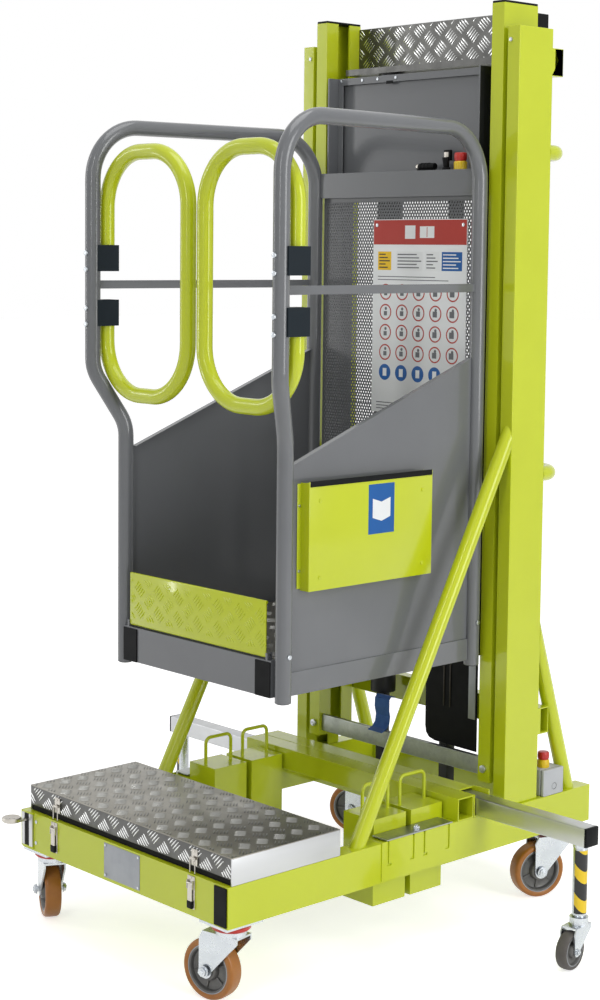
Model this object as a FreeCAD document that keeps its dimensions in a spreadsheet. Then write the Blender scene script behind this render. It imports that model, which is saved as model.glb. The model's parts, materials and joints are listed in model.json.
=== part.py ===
import FreeCAD, Part
import math
import os
import Sketcher
from FreeCAD import Placement, Rotation, Vector

# Vertical mast lift, in millimetres.
# +X is the machine's right, +Y points from the entry side back to the mast, +Z is up.
# The origin is on the floor, under the middle of the machine's outline.

# Every size: its name, its value and what it is.
SIZE_TABLE = [
    ("base_half", 343.0, "half the width of the base frame"),
    ("base_front", -522.0, "front face of the base frame"),
    ("base_length", 1106.0, "length of the side rails"),
    ("rail_width", 42.0, "width of a side rail"),
    ("rail_bottom", 171.0, "underside of the side rails"),
    ("rail_height", 84.0, "height of the side rails"),
    ("rail_wall", 3.0, "wall of the side rails"),
    ("box_depth", 300.0, "depth of the front box behind the front face"),
    ("sheet", 3.0, "thickness of the box and bracket sheets"),
    ("cap_depth", 3.0, "thickness of a plastic end cap"),
    ("beam_width", 60.0, "width of the cross beams of the base"),
    ("beam_height", 64.0, "height of the cross beams of the base"),
    ("seat_gap", 0.3, "clearance between a loose piece and its seat"),
    ("beam_inset", 26.0, "cross beam behind the columns' front face"),
    ("box_rim", 25.0, "width of the rim round the front box's opening"),
    ("battery_front", 50.0, "battery block behind the base's front"),
    ("battery_width", 380.0, "width of the battery block"),
    ("battery_depth", 200.0, "depth of the battery block"),
    ("battery_height", 70.0, "height of the battery block"),
    ("seal_height", 13.0, "height of the rubber seal under the lid"),
    ("seal_width", 14.0, "width of the rubber seal"),
    ("seal_inset", 3.5, "rubber seal inside the lid's edge"),
    ("lid_reveal", 6.0, "front of the lid's skirt above its sides"),
    ("lid_margin", 16.0, "left edge of the lid inside the base's side"),
    ("lid_front", 8.0, "front edge of the lid behind the base's front"),
    ("lid_length", 292.0, "length of the lid from front to hinge"),
    ("lid_height", 50.0, "height of the lid's skirt"),
    ("lid_sheet", 3.0, "thickness of the lid's sheet"),
    ("lid_raise", 7.0, "lower edge of the lid above the rails"),
    ("hinge_radius", 3.2, "radius of the lid's hinge knuckles"),
    ("hinge_drop", 3.6, "lid's hinge axis below its lower edge"),
    ("hinge_leaf", 2.0, "thickness of a hinge leaf"),
    ("hinge_height", 24.0, "height of a hinge leaf"),
    ("hinge_out", 190.0, "lid's hinges from the middle"),
    ("knuckle_length", 34.0, "length of a hinge knuckle"),
    ("knuckle_gap", 0.8, "clearance between two knuckles"),
    ("column_outer", 336.0, "outer face of the fixed columns from the middle"),
    ("column_width", 34.0, "width of a column, across the machine"),
    ("column_depth", 111.0, "depth of a column, front to back"),
    ("column_front", 814.0, "front face of the columns behind the base's front"),
    ("column_wall", 4.0, "wall of a column"),
    ("column_slot", 37.0, "width of the slot in a column's inner face"),
    ("stage_drop", 52.0, "top of the fixed columns below the moving columns' top"),
    ("inner_outer", 291.0, "outer face of the moving columns from the middle"),
    ("inner_bottom", 299.0, "foot of the moving columns"),
    ("inner_top", 2013.0, "top of the moving columns"),
    ("cap_thick", 5.0, "thickness of the caps on the moving columns"),
    ("shoe_gap", 0.4, "clearance of a slide shoe in its column"),
    ("shoe_height", 160.0, "height of a slide shoe"),
    ("shoe_neck", 30.0, "width of a slide shoe's neck"),
    ("back_gap", 6.0, "clearance behind the moving columns"),
    ("back_beam_depth", 30.0, "depth of the beams behind the mast"),
    ("back_beam_height", 60.0, "height of the beams behind the mast"),
    ("back_beam_low", 400.0, "foot of the lower beam behind the mast"),
    ("beam_drop", 101.0, "foot of the upper rear beam below the fixed columns' top"),
    ("brace_radius", 17.0, "radius of the braces"),
    ("brace_out", 320.0, "braces and handles from the middle"),
    ("brace_wall", 2.5, "wall of the braces"),
    ("front_foot", 372.0, "foot of a front brace behind the base's front"),
    ("front_head", 1066.0, "height of a front brace's head"),
    ("rear_foot", 1048.0, "foot of a rear brace behind the base's front"),
    ("rear_head", 630.0, "height of a rear brace's head"),
    ("handle_radius", 17.0, "radius of the push handles"),
    ("handle_reach", 62.0, "push handle's tube behind the columns"),
    ("handle_bend", 45.0, "bend radius of the push handles"),
    ("handle_low", 988.0, "height of the lower push handle"),
    ("handle_high", 1696.0, "height of the upper push handle"),
    ("housing_size", 50.0, "side of an outrigger housing"),
    ("housing_wall", 3.0, "wall of an outrigger housing"),
    ("housing_front", 655.0, "front housing behind the base's front"),
    ("housing_step", 52.0, "distance between the two housings"),
    ("bar_size", 40.0, "side of an outrigger bar"),
    ("bar_wall", 3.0, "wall of an outrigger bar"),
    ("bar_reach", 642.0, "end of an outrigger bar from the middle"),
    ("bar_length", 720.0, "length of an outrigger bar"),
    ("leg_inset", 27.0, "outrigger leg inside the end of its bar"),
    ("leg_radius", 15.0, "radius of an outrigger leg"),
    ("leg_bottom", 104.0, "foot of an outrigger leg"),
    ("small_radius", 40.0, "radius of an outrigger wheel"),
    ("small_width", 26.0, "width of an outrigger wheel"),
    ("small_trail", 34.0, "trail of an outrigger castor"),
    ("wheel_radius", 62.5, "radius of a base wheel"),
    ("wheel_width", 36.0, "width of a base wheel"),
    ("wheel_trail", 46.0, "trail of a base castor"),
    ("castor_inset", 45.0, "pivots of the base castors inside the base's sides"),
    ("castor_front", 48.0, "front castors behind the base's front"),
    ("castor_rear", 1040.0, "rear castors behind the base's front"),
    ("plate_x", 84.0, "castor plate's width"),
    ("plate_y", 96.0, "castor plate's length"),
    ("plate_thick", 6.0, "castor plate's thickness"),
    ("fork_sheet", 4.0, "thickness of a castor fork"),
    ("fork_play", 2.5, "clearance between a wheel and its fork"),
    ("crown_gap", 14.0, "clearance between a wheel and its fork's crown"),
    ("race_radius", 32.0, "radius of a castor's swivel ring"),
    ("pin_radius", 6.0, "radius of a base castor's axle"),
    ("pin_play", 0.05, "running clearance on an axle"),
    ("small_race", 20.0, "radius of an outrigger castor's swivel ring"),
    ("small_sheet", 3.0, "thickness of an outrigger castor's fork"),
    ("small_gap", 6.0, "clearance between an outrigger wheel and its fork's crown"),
    ("small_pin", 4.0, "radius of an outrigger castor's axle"),
    ("eye_ratio", 2.6, "radius of a fork's eye over its axle's"),
    ("rim_ratio", 0.8, "radius of a tyre's seat over the wheel's"),
    ("boss_ratio", 2.2, "radius of a hub's boss over its axle's"),
    ("boss_reach", 2.0, "boss beyond the wheel on each side"),
    ("web_ratio", 0.6, "thickness of a hub's web over the wheel's width"),
    ("flank", 4.0, "slant of a tyre's flanks"),
    ("ballast_width", 90.0, "width of a ballast block"),
    ("ballast_length", 97.0, "length of a ballast block"),
    ("ballast_front", 440.0, "first ballast block behind the base's front"),
    ("ballast_step", 113.0, "distance between two ballast blocks"),
    ("ballast_bottom", 106.0, "underside of the ballast blocks"),
    ("ballast_top", 292.0, "top of the ballast blocks"),
    ("wire_radius", 4.0, "radius of a ballast block's wire handle"),
    ("wire_height", 62.0, "height of a wire handle above its block"),
    ("wire_span", 76.0, "span of a wire handle"),
    ("wire_bend", 14.0, "bend radius of a wire handle"),
    ("hook_edge", 16.0, "first slot behind the front of the hook plates"),
    ("hook_hang", 76.0, "distance between the slots of one block"),
    ("hook_pair", 109.0, "distance between the slots of two blocks"),
    ("hook_foot", 12.0, "length of the foot of a J-shaped slot"),
    ("hook_inset", 4.0, "hook plates above the rails' underside"),
    ("hook_front", 420.0, "front edge of the ballast hook plates"),
    ("hook_length", 230.0, "length of the ballast hook plates"),
    ("hook_slot", 5.0, "width of the slots in the hook plates"),
    ("hook_drop", 50.0, "depth of the slots in the hook plates"),
    ("strap_start", 15.0, "strap behind the front of the hook plates"),
    ("strap_length", 200.0, "length of the strap over the ballast"),
    ("strap_width", 44.0, "width of the strap over the ballast"),
    ("ram_out", 104.0, "lift ram from the middle"),
    ("ram_back", 878.0, "axis of the lift ram behind the base's front"),
    ("ram_radius", 30.0, "outer radius of the lift ram's barrel"),
    ("ram_bore", 22.0, "bore radius of the lift ram's barrel"),
    ("ram_foot", 430.0, "foot of the lift ram's barrel"),
    ("rod_radius", 16.0, "radius of the lift ram's rod"),
    ("rod_top", 1740.0, "top of the lift ram's rod"),
    ("guide_side", 26.0, "side of the cable guide post"),
    ("guide_top", 1780.0, "top of the cable guide post"),
    ("head_height", 14.0, "height of the moving mast's head plate"),
    ("head_drop", 110.0, "head plate below the top of the moving columns"),
    ("tread_height", 109.0, "height of the tread panel on the mast"),
    ("tread_drop", 8.0, "tread panel below the top of the moving columns"),
    ("tie_bottom", 311.0, "lower edge of the bar across the mast's foot"),
    ("tie_height", 40.0, "height of the bar across the mast's foot"),
    ("tie_depth", 12.0, "depth of the bar across the mast's foot"),
    ("tube_radius", 17.0, "radius of the cage tubes"),
    ("hoop_out", 258.0, "lower cage tubes from the middle"),
    ("hoop_flare", 303.0, "upper front cage tubes from the middle"),
    ("hoop_front", 217.0, "lower front tube behind the base's front"),
    ("hoop_lean", 160.0, "upper front tube behind the base's front"),
    ("hoop_back", 783.0, "rear cage tubes behind the base's front"),
    ("hoop_bottom", 568.0, "foot of the cage tubes"),
    ("hoop_rise", 58.0, "top run of the cage tubes above the gates' top"),
    ("hoop_bend", 115.0, "bend radius of the cage tubes"),
    ("kink_drop", 68.0, "lower end of the front tubes' kink below the gates"),
    ("kink_rise", 120.0, "height of the kink in the front tubes"),
    ("kink_bend", 90.0, "bend radius at the kink"),
    ("knee_rise", 237.0, "cage's middle rails above the gates' lowest tube line"),
    ("knee_radius", 9.0, "radius of the cage's middle rails"),
    ("deck_top", 655.0, "standing surface of the cage"),
    ("deck_sheet", 3.0, "thickness of the floor plate under the deck"),
    ("tread_sheet", 2.0, "thickness of the tread plate on the deck"),
    ("tread_edge", 7.0, "tread plate inside the floor's sides"),
    ("tread_front", 20.0, "tread plate behind the floor's front"),
    ("tread_back", 776.0, "rear edge of the tread plate behind the base's front"),
    ("deck_front", 200.0, "front face of the floor frame"),
    ("deck_back", 800.0, "rear end of the floor frame"),
    ("sill_height", 78.0, "height of the floor frame"),
    ("sill_outer", 240.0, "outer face of the floor tubes"),
    ("sill_width", 46.0, "width of the floor tubes"),
    ("panel_sheet", 2.0, "thickness of the cage panels"),
    ("panel_rise", 51.0, "side panels above the floor frame's foot"),
    ("panel_low", 1047.0, "front height of the side panels"),
    ("panel_high", 1247.0, "rear height of the side panels"),
    ("panel_fold", 14.0, "width of the fold along the side panels"),
    ("skirt_rise", 3.0, "side skirts above the floor frame's foot"),
    ("pan_half", 233.0, "half width of the mast-side pan"),
    ("pan_face", 830.0, "face of the pan behind the base's front"),
    ("pan_drop", 8.0, "top of the pan below the mast's head plate"),
    ("pan_fold", 16.0, "width of the pan's flange"),
    ("pan_depth", 12.0, "depth of the pan"),
    ("console_base", 1600.0, "lower edge of the control shelf"),
    ("console_top", 1658.0, "top of the control shelf"),
    ("grille_back", 796.0, "face of the perforated panel"),
    ("board_left", -74.0, "left edge of the sign board"),
    ("board_right", 215.0, "right edge of the sign board"),
    ("board_base", 1108.0, "lower edge of the sign board"),
    ("board_top", 1550.0, "upper edge of the sign board"),
    ("case_front", 250.0, "front of the document box"),
    ("case_length", 372.0, "length of the document box"),
    ("case_base", 793.0, "lower edge of the document box"),
    ("case_height", 223.0, "height of the document box"),
    ("case_depth", 26.0, "depth of the document box"),
    ("gate_back", 200.0, "plane of the gates behind the base's front"),
    ("gate_out", 305.0, "hinge axis of a gate from the middle"),
    ("gate_in", 27.0, "free side of a gate from the middle"),
    ("gate_rise", 508.0, "lowest tube line of a gate above the deck"),
    ("gate_height", 521.0, "height of a gate between its tube lines"),
    ("gate_bend", 118.0, "bend radius of a gate"),
    ("block_rise", 147.0, "lower hinge block above a gate's lowest tube line"),
    ("block_pitch", 119.0, "rise from the lower to the upper hinge block"),
    ("block_height", 57.0, "height of a gate hinge block"),
    ("block_wall", 6.0, "wall of a hinge block round the gate's tube"),
    ("flap_half", 222.0, "half width of the toe flap"),
    ("flap_hinge", 664.0, "height of the toe flap's hinge"),
    ("flap_height", 112.0, "height of the toe flap"),
    ("flap_sheet", 3.0, "thickness of the toe flap"),
    ("knob_radius", 11.0, "radius of the emergency stop buttons"),
    ("collar_height", 18.0, "height of the collar of a stop button"),
    ("knob_height", 36.0, "height of a stop button with its collar"),
    ("stop_front", 941.0, "switch box behind the base's front"),
    ("stop_length", 69.0, "length of the switch box"),
    ("stop_width", 42.0, "width of the switch box"),
    ("stop_height", 60.0, "height of the switch box"),
    ("stop_inset", 27.0, "button of the switch box inside the rail's outer face"),
    ("stop_back", 970.0, "button of the switch box behind the base's front"),
    ("pedal_radius", 21.0, "radius of the foot pedal"),
    ("pedal_thick", 10.0, "thickness of the foot pedal"),
    ("pedal_reach", 44.0, "foot pedal in front of the base"),
    ("pedal_drop", 15.0, "underside of the foot pedal below the rails' top"),
    ("pedal_sheet", 5.0, "thickness of the foot pedal's bracket"),
    ("pedal_flange", 10.0, "width of the bracket's flanges"),
    ("pedal_inset", 4.0, "bracket inside the edges of its rail"),
    ("latch_left", -224.0, "left latch from the middle"),
    ("latch_right", 234.0, "right latch from the middle"),
    ("latch_half", 11.0, "half width of a latch plate"),
    ("latch_base", 186.0, "foot of a latch plate"),
    ("latch_top", 252.0, "top of a latch plate"),
    ("lever_top", 240.0, "top of a latch lever"),
    ("lever_thick", 5.0, "thickness of a latch lever"),
    ("catch_base", 276.0, "foot of a catch plate on the lid"),
    ("catch_top", 304.0, "top of a catch plate on the lid"),
    ("catch_lip", 284.0, "underside of a catch's lip"),
    ("catch_reach", 8.0, "reach of a catch's lip"),
    ("loop_wire", 2.5, "thickness of a latch's loop"),
    ("loop_base", 257.0, "foot of a latch's loop"),
    ("lug_sheet", 6.0, "thickness of the toe flap's lugs"),
    ("lug_depth", 14.0, "depth of the toe flap's lugs"),
    ("lug_rise", 6.0, "lugs above the toe flap's axis"),
    ("flap_play", 1.0, "clearance between the toe flap and its lugs"),
    ("flap_pin", 3.0, "radius of the toe flap's pin"),
    ("flap_tube", 5.5, "radius of the toe flap's hinge tube"),
    ("flap_drop", 2.5, "toe flap's axis below its hinge height"),
    ("stay_front", 60.0, "front stay of a skirt behind the floor's front"),
    ("stay_rear", 500.0, "rear stay of a skirt behind the floor's front"),
    ("stay_size", 30.0, "length and height of a skirt's stay"),
    ("skirt_half", 4.0, "half thickness of a skirt"),
    ("stile_width", 5.0, "thickness of the carriage's stiles"),
    ("carriage_foot", 20.0, "carriage's shoes above its foot"),
    ("carriage_beam", 40.0, "height of the carriage's cross bar"),
    ("shoe_foot", 10.0, "mast's shoes above the moving columns' foot"),
    ("cover_depth", 37.0, "depth of the chain wheel covers"),
    ("cover_drop", 14.0, "chain wheel covers below the columns' top"),
    ("tie_inset", 8.0, "bar across the mast's foot behind the columns' front"),
    ("barrel_head", 30.0, "solid head of the lift ram's barrel"),
    ("gland_height", 12.0, "height of the lift ram's gland"),
    ("rocker_left", 150.0, "left side of the rocker switch"),
    ("rocker_width", 22.0, "width and depth of the rocker switch"),
    ("rocker_height", 46.0, "height of the rocker switch"),
    ("lever_out", 182.0, "control lever from the middle"),
    ("lever_back", 797.0, "control lever behind the base's front"),
    ("lever_radius", 7.0, "radius of the control lever"),
    ("lever_height", 30.0, "height of the control lever"),
    ("socket_left", 84.0, "left side of the socket"),
    ("socket_width", 44.0, "width of the socket"),
    ("socket_front", 795.0, "socket behind the base's front"),
    ("socket_depth", 25.0, "depth of the socket"),
    ("socket_height", 14.0, "height of the socket"),
    ("button_out", 203.0, "stop button of the cage from the middle"),
    ("button_back", 808.0, "stop button of the cage behind the base's front"),
    ("gate_entry", 46.0, "length of a gate's end in its hinge block"),
    ("cut_length", 48.0, "length of the cut in the rear housing's top"),
    ("lip_rise", 3.0, "rib along the rear housing's cut above its top"),
]


class Size:
    """A length that is known both as a sheet formula and as a number."""

    def __init__(self, formula, value):
        self.formula = formula
        self.value = float(value)

    @staticmethod
    def of(other):
        return other if isinstance(other, Size) else Size(repr(float(other)), other)

    def join(self, other, sign, value):
        return Size("(" + self.formula + " " + sign + " " + other.formula + ")", value)

    def __add__(self, other):
        other = Size.of(other)
        return self.join(other, "+", self.value + other.value)

    def __radd__(self, other):
        return Size.of(other) + self

    def __sub__(self, other):
        other = Size.of(other)
        return self.join(other, "-", self.value - other.value)

    def __rsub__(self, other):
        return Size.of(other) - self

    def __mul__(self, other):
        other = Size.of(other)
        return self.join(other, "*", self.value * other.value)

    def __rmul__(self, other):
        return Size.of(other) * self

    def __truediv__(self, other):
        other = Size.of(other)
        return self.join(other, "/", self.value / other.value)

    def __neg__(self):
        return Size.of(0) - self


class Names:
    """Every size of the sheet as an attribute."""


doc = FreeCAD.newDocument("mast_lift")
sheet = doc.addObject("Spreadsheet::Sheet", "Sizes")
S = Names()
for row, (name, value, note) in enumerate(SIZE_TABLE, start=1):
    sheet.set("A%d" % row, name)
    sheet.set("B%d" % row, str(value))
    sheet.set("C%d" % row, note)
    sheet.setAlias("B%d" % row, name)
    setattr(S, name, Size("Sizes." + name, value))
doc.recompute()

nodes = []


def keep(thing, label):
    """Names a finished piece; its label names its file."""
    thing.Label = label
    nodes.append(thing)
    return thing


def number(size):
    return Size.of(size).value


def place(thing, x=0, y=0, z=0):
    """Ties a piece's position to the sheet."""
    for axis, size in (("x", x), ("y", y), ("z", z)):
        thing.setExpression("Placement.Base." + axis, Size.of(size).formula)
    return thing


def block(x, y, z):
    """A box from three pairs of limits."""
    thing = doc.addObject("Part::Box", "block")
    for side, (low, high) in (("Length", x), ("Width", y), ("Height", z)):
        thing.setExpression(side, (Size.of(high) - Size.of(low)).formula)
    return place(thing, x[0], y[0], z[0])


TURNS = {"x": Rotation(Vector(0, 1, 0), 90), "y": Rotation(Vector(1, 0, 0), -90), "z": Rotation()}


def rod(radius, length, start, axis="z"):
    """A round bar that starts at a point and runs along an axis."""
    thing = doc.addObject("Part::Cylinder", "rod")
    thing.setExpression("Radius", Size.of(radius).formula)
    thing.setExpression("Height", Size.of(length).formula)
    thing.Placement = Placement(Vector(), TURNS[axis])
    return place(thing, *start)


def fuse(things):
    whole = doc.addObject("Part::MultiFuse", "whole")
    whole.Shapes = things
    whole.Refine = True
    return whole


def cut(base, tools):
    """The base with every tool taken away."""
    tool = tools[0] if len(tools) == 1 else fuse(tools)
    rest = doc.addObject("Part::Cut", "rest")
    rest.Base = base
    rest.Tool = tool
    rest.Refine = True
    return rest


def group(things):
    """Like pieces of one body that share a node and don't touch."""
    whole = doc.addObject("Part::Compound", "group")
    whole.Links = things
    return whole


def box_tube(x, y, z, wall, axis):
    """A square tube, open at both ends of its axis."""
    inside = {"x": x, "y": y, "z": z}
    for name, (low, high) in inside.items():
        grow = -1 if name == axis else 1
        inside[name] = (low + grow * wall, high - grow * wall)
    return cut(block(x, y, z), [block(inside["x"], inside["y"], inside["z"])])


def origin_plane(body, role):
    return next(item for item in body.Origin.OriginFeatures if item.Role == role)


def sketch(body, role, loops):
    """A sketch of closed outlines; each corner is tied to the sheet."""
    drawing = body.newObject("Sketcher::SketchObject", "outline")
    drawing.AttachmentSupport = [(origin_plane(body, role), "")]
    drawing.MapMode = "FlatFace"
    for corners in loops:
        first = drawing.GeometryCount
        points = [Vector(number(x), number(y), 0) for x, y in corners]
        for i, point in enumerate(points):
            drawing.addGeometry(Part.LineSegment(point, points[(i + 1) % len(points)]), False)
        for i, (x, y) in enumerate(corners):
            line = first + i
            following = first + (i + 1) % len(corners)
            drawing.addConstraint(Sketcher.Constraint("Coincident", line, 2, following, 1))
            for kind, size in (("DistanceX", x), ("DistanceY", y)):
                rule = Sketcher.Constraint(kind, -1, 1, line, 1, number(size))
                index = drawing.addConstraint(rule)
                drawing.setExpression("Constraints[%d]" % index, Size.of(size).formula)
    return drawing


def prism(role, loops, start, length, name="prism"):
    """An outline drawn on an origin plane, moved to its start and made solid along the plane's axis.

    On XZ_Plane the solid grows along +Y, on YZ_Plane along +X and on XY_Plane along +Z.
    """
    body = doc.addObject("PartDesign::Body", name)
    drawing = sketch(body, role, loops)
    pad = body.newObject("PartDesign::Pad", "pad")
    pad.Profile = drawing
    pad.setExpression("Length", Size.of(length).formula)
    pad.Reversed = role == "XZ_Plane"
    body.Tip = pad
    axis = {"XY_Plane": "z", "XZ_Plane": "y", "YZ_Plane": "x"}[role]
    return place(body, **{axis: start})


def turned(corners, name="turned"):
    """An outline of (radius, width) points turned about the X axis."""
    body = doc.addObject("PartDesign::Body", name)
    drawing = sketch(body, "XY_Plane", [[(width, radius) for radius, width in corners]])
    spin = body.newObject("PartDesign::Revolution", "spin")
    spin.Profile = drawing
    spin.ReferenceAxis = (drawing, ["H_Axis"])
    spin.Angle = 360
    body.Tip = spin
    return body


def rounded_path(points, bends):
    """A wire of straight runs joined by arcs; each inner point has its own bend radius."""
    edges = []
    last = points[0]
    for i in range(1, len(points) - 1):
        corner = points[i]
        back_way = (points[i - 1] - corner).normalize()
        out_way = (points[i + 1] - corner).normalize()
        half = back_way.getAngle(out_way) / 2
        set_back = bends[i - 1] / math.tan(half)
        middle_way = (back_way + out_way).normalize()
        reach = bends[i - 1] / math.sin(half) - bends[i - 1]
        start = corner + back_way * set_back
        end = corner + out_way * set_back
        edges.append(Part.LineSegment(last, start).toShape())
        edges.append(Part.Arc(start, corner + middle_way * reach, end).toShape())
        last = end
    edges.append(Part.LineSegment(last, points[-1]).toShape())
    return Part.Wire(edges)


def swept(path, radius):
    """A round solid along a path."""
    start = path.Edges[0]
    way = start.tangentAt(start.FirstParameter)
    ring = Part.Wire([Part.Circle(start.Vertexes[0].Point, way, radius).toShape()])
    return path.makePipeShell([ring], True, False)


def spot(x, y, z):
    return Vector(number(x), number(y), number(z))


def shaped(shape, name):
    """A piece that keeps a shape made from the sheet's values."""
    thing = doc.addObject("Part::Feature", name)
    thing.Shape = shape
    return thing


def span(side, near, far):
    """Limits across the machine, from the near to the far distance on one side."""
    return (near, far) if side > 0 else (-far, -near)


def back(distance):
    """A place measured back from the front face of the base."""
    return S.base_front + distance


rail_top = S.rail_bottom + S.rail_height
rail_inner = S.base_half - S.rail_width
base_rear = back(S.base_length)
column_near = S.column_outer - S.column_width
inner_near = S.inner_outer - S.column_width
column_rear = S.column_front + S.column_depth
lid_bottom = rail_top + S.lid_raise
lid_rear = S.lid_front + S.lid_length
lid_left = S.base_half - S.lid_margin
column_top = S.inner_top - S.stage_drop
back_beam_high = column_top - S.beam_drop
head_top = S.inner_top - S.head_drop
head_bottom = head_top - S.head_height
tread_top = S.inner_top - S.tread_drop
tread_bottom = tread_top - S.tread_height
pan_top = head_bottom - S.pan_drop
castor_out = S.base_half - S.castor_inset
gate_base = S.deck_top + S.gate_rise
gate_top = gate_base + S.gate_height
block_low = gate_base + S.block_rise
block_high = block_low + S.block_pitch
hoop_top = gate_top + S.hoop_rise
kink_low = gate_base - S.kink_drop
kink_high = kink_low + S.kink_rise
knee_height = gate_base + S.knee_rise
hinge_axis_z = lid_bottom - S.hinge_drop


def lid_hinges(word):
    """The knuckles and leaves of the lid's two hinges, on the lid or on the base."""
    parts = []
    axis_y = back(lid_rear)
    for side in (-1, 1):
        middle = side * S.hinge_out
        if word == "lid":
            spans = [(middle - S.knuckle_length / 2, middle + S.knuckle_length / 2)]
            z = (hinge_axis_z, lid_bottom + S.hinge_height)
        else:
            inner = S.knuckle_length / 2 + S.knuckle_gap
            outer = inner + S.knuckle_length / 2
            spans = [(middle - outer, middle - inner), (middle + inner, middle + outer)]
            z = (rail_top - S.hinge_height, hinge_axis_z)
        for x in spans:
            parts.append(rod(S.hinge_radius, x[1] - x[0], (x[0], axis_y, hinge_axis_z), "x"))
            parts.append(block(x, (axis_y, axis_y + S.hinge_leaf), z))
    return parts


# The welded base: two hollow side rails, the rimmed front box and the cross beams.
def base_frame():
    rails = [
        box_tube(span(side, rail_inner, S.base_half), (back(0), base_rear),
                 (S.rail_bottom, rail_top), S.rail_wall, "y")
        for side in (-1, 1)
    ]
    across = (-rail_inner, rail_inner)
    z = (S.rail_bottom, rail_top)
    box = block(across, (back(0), back(S.box_depth)), z)
    room = block(across, (back(S.sheet), back(S.box_depth - S.sheet)), (z[0] + S.sheet, z[1] - S.sheet))
    mouth = block(across, (back(S.box_rim), back(S.box_depth - S.box_rim)), (z[1] - S.sheet, z[1]))
    tubes = []
    for start in (S.column_front + S.beam_inset, S.base_length - S.beam_width):
        tubes.append(box_tube(across, (back(start), back(start + S.beam_width)),
                              (S.rail_bottom, S.rail_bottom + S.beam_height), S.rail_wall, "x"))
    return fuse(rails + [cut(box, [room, mouth])] + tubes + lid_hinges("base"))


keep(base_frame(), "base_frame")


# Plastic caps that close the open rail ends.
def rail_caps():
    caps = []
    for side, start in ((1, -S.cap_depth), (1, S.base_length), (-1, S.base_length)):
        x = span(side, rail_inner + S.sheet, S.base_half - S.sheet)
        caps.append(block(x, (back(start), back(start + S.cap_depth)),
                          (S.rail_bottom + S.sheet, rail_top - S.sheet)))
    return group(caps)


keep(rail_caps(), "rail_caps")
keep(block((-S.battery_width / 2, S.battery_width / 2),
           (back(S.battery_front), back(S.battery_front + S.battery_depth)),
           (S.rail_bottom + S.sheet, S.rail_bottom + S.sheet + S.battery_height)), "battery_block")


# A rubber frame under the lid, on the rails and the rim of the box.
def lid_seal():
    front = S.lid_front + S.seal_inset
    rear = lid_rear - S.seal_inset
    z = (rail_top, rail_top + S.seal_height)
    outer = block((-lid_left + S.seal_inset, S.base_half - S.seal_inset), (back(front), back(rear)), z)
    inner = block((-rail_inner, rail_inner), (back(front + S.seal_width), back(rear - S.seal_width)), z)
    return cut(outer, [inner])


# The lid of the front box is a folded tray that serves as a step.
def box_lid():
    z = (lid_bottom, lid_bottom + S.lid_height)
    outer = block((-lid_left, S.base_half), (back(S.lid_front), back(lid_rear)), z)
    inner = block((-lid_left + S.lid_sheet, S.base_half - S.lid_sheet),
                  (back(S.lid_front + S.lid_sheet), back(lid_rear - S.lid_sheet)),
                  (lid_bottom, z[1] - S.lid_sheet))
    reveal = block((-lid_left + S.lid_sheet, S.base_half - S.lid_sheet),
                   (back(S.lid_front), back(S.lid_front + S.lid_sheet)),
                   (lid_bottom, lid_bottom + S.lid_reveal))
    return fuse([cut(outer, [inner, reveal])] + lid_hinges("lid"))


keep(lid_seal(), "lid_seal")
keep(box_lid(), "box_lid")


def c_column(near, outer, bottom, top):
    """A column with a slot along its inner face, on the right side."""
    front = back(S.column_front)
    rear = back(column_rear)
    lip = (S.column_depth - S.column_slot) / 2
    wall = S.column_wall
    outline = [
        (near, front), (outer, front), (outer, rear), (near, rear),
        (near, rear - lip), (near + wall, rear - lip), (near + wall, rear - wall),
        (outer - wall, rear - wall), (outer - wall, front + wall), (near + wall, front + wall),
        (near + wall, front + lip), (near, front + lip),
    ]
    return prism("XY_Plane", [outline], bottom, top - bottom, "column")


def mirrored(thing):
    """The left-hand twin of a right-hand piece."""
    twin = doc.addObject("Part::Mirroring", "twin")
    twin.Source = thing
    twin.Base = Vector(0, 0, 0)
    twin.Normal = Vector(1, 0, 0)
    return twin


# The fixed stage of the mast, joined behind by two hollow beams.
def outer_mast():
    right = c_column(column_near, S.column_outer, rail_top, column_top)
    rear = column_rear + S.back_gap
    beams = []
    for foot in (S.back_beam_low, back_beam_high):
        z = (foot, foot + S.back_beam_height)
        beams.append(box_tube((-S.column_outer, S.column_outer),
                              (back(rear), back(rear + S.back_beam_depth)), z, S.rail_wall, "x"))
        for side in (-1, 1):
            beams.append(block(span(side, column_near, S.column_outer),
                               (back(column_rear), back(rear)), z))
    return fuse([right, mirrored(right)] + beams)


keep(outer_mast(), "outer_mast")


def brace(start, end):
    """A round tube between two points, trimmed where it meets a flat face."""
    way = end - start
    reach = way.Length + 4 * S.brace_radius.value
    origin = start - way * (2 * S.brace_radius.value / way.Length)
    outer = Part.makeCylinder(S.brace_radius.value, reach, origin, way)
    inner = Part.makeCylinder((S.brace_radius - S.brace_wall).value, reach, origin, way)
    return outer.cut(inner)


# Four round struts hold the mast upright on the rails.
def braces():
    tubes = []
    for side in (-1, 1):
        for foot, column_face, head in ((S.front_foot, S.column_front, S.front_head),
                                        (S.rear_foot, column_rear, S.rear_head)):
            low = spot(side * S.brace_out, back(foot), rail_top)
            high = spot(side * S.brace_out, back(column_face), head)
            tube = brace(low, high)
            near = min(low.y, high.y) - 2 * S.brace_radius.value
            far = max(low.y, high.y) + 2 * S.brace_radius.value
            if low.y < high.y:
                far = high.y
            else:
                near = high.y
            room = Part.makeBox(4 * S.brace_radius.value, far - near, high.z,
                                Vector(low.x - 2 * S.brace_radius.value, near, low.z))
            tubes.append(tube.common(room))
    return shaped(Part.makeCompound([piece.Solids[0] for piece in tubes]), "braces")


keep(braces(), "mast_braces")


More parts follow.
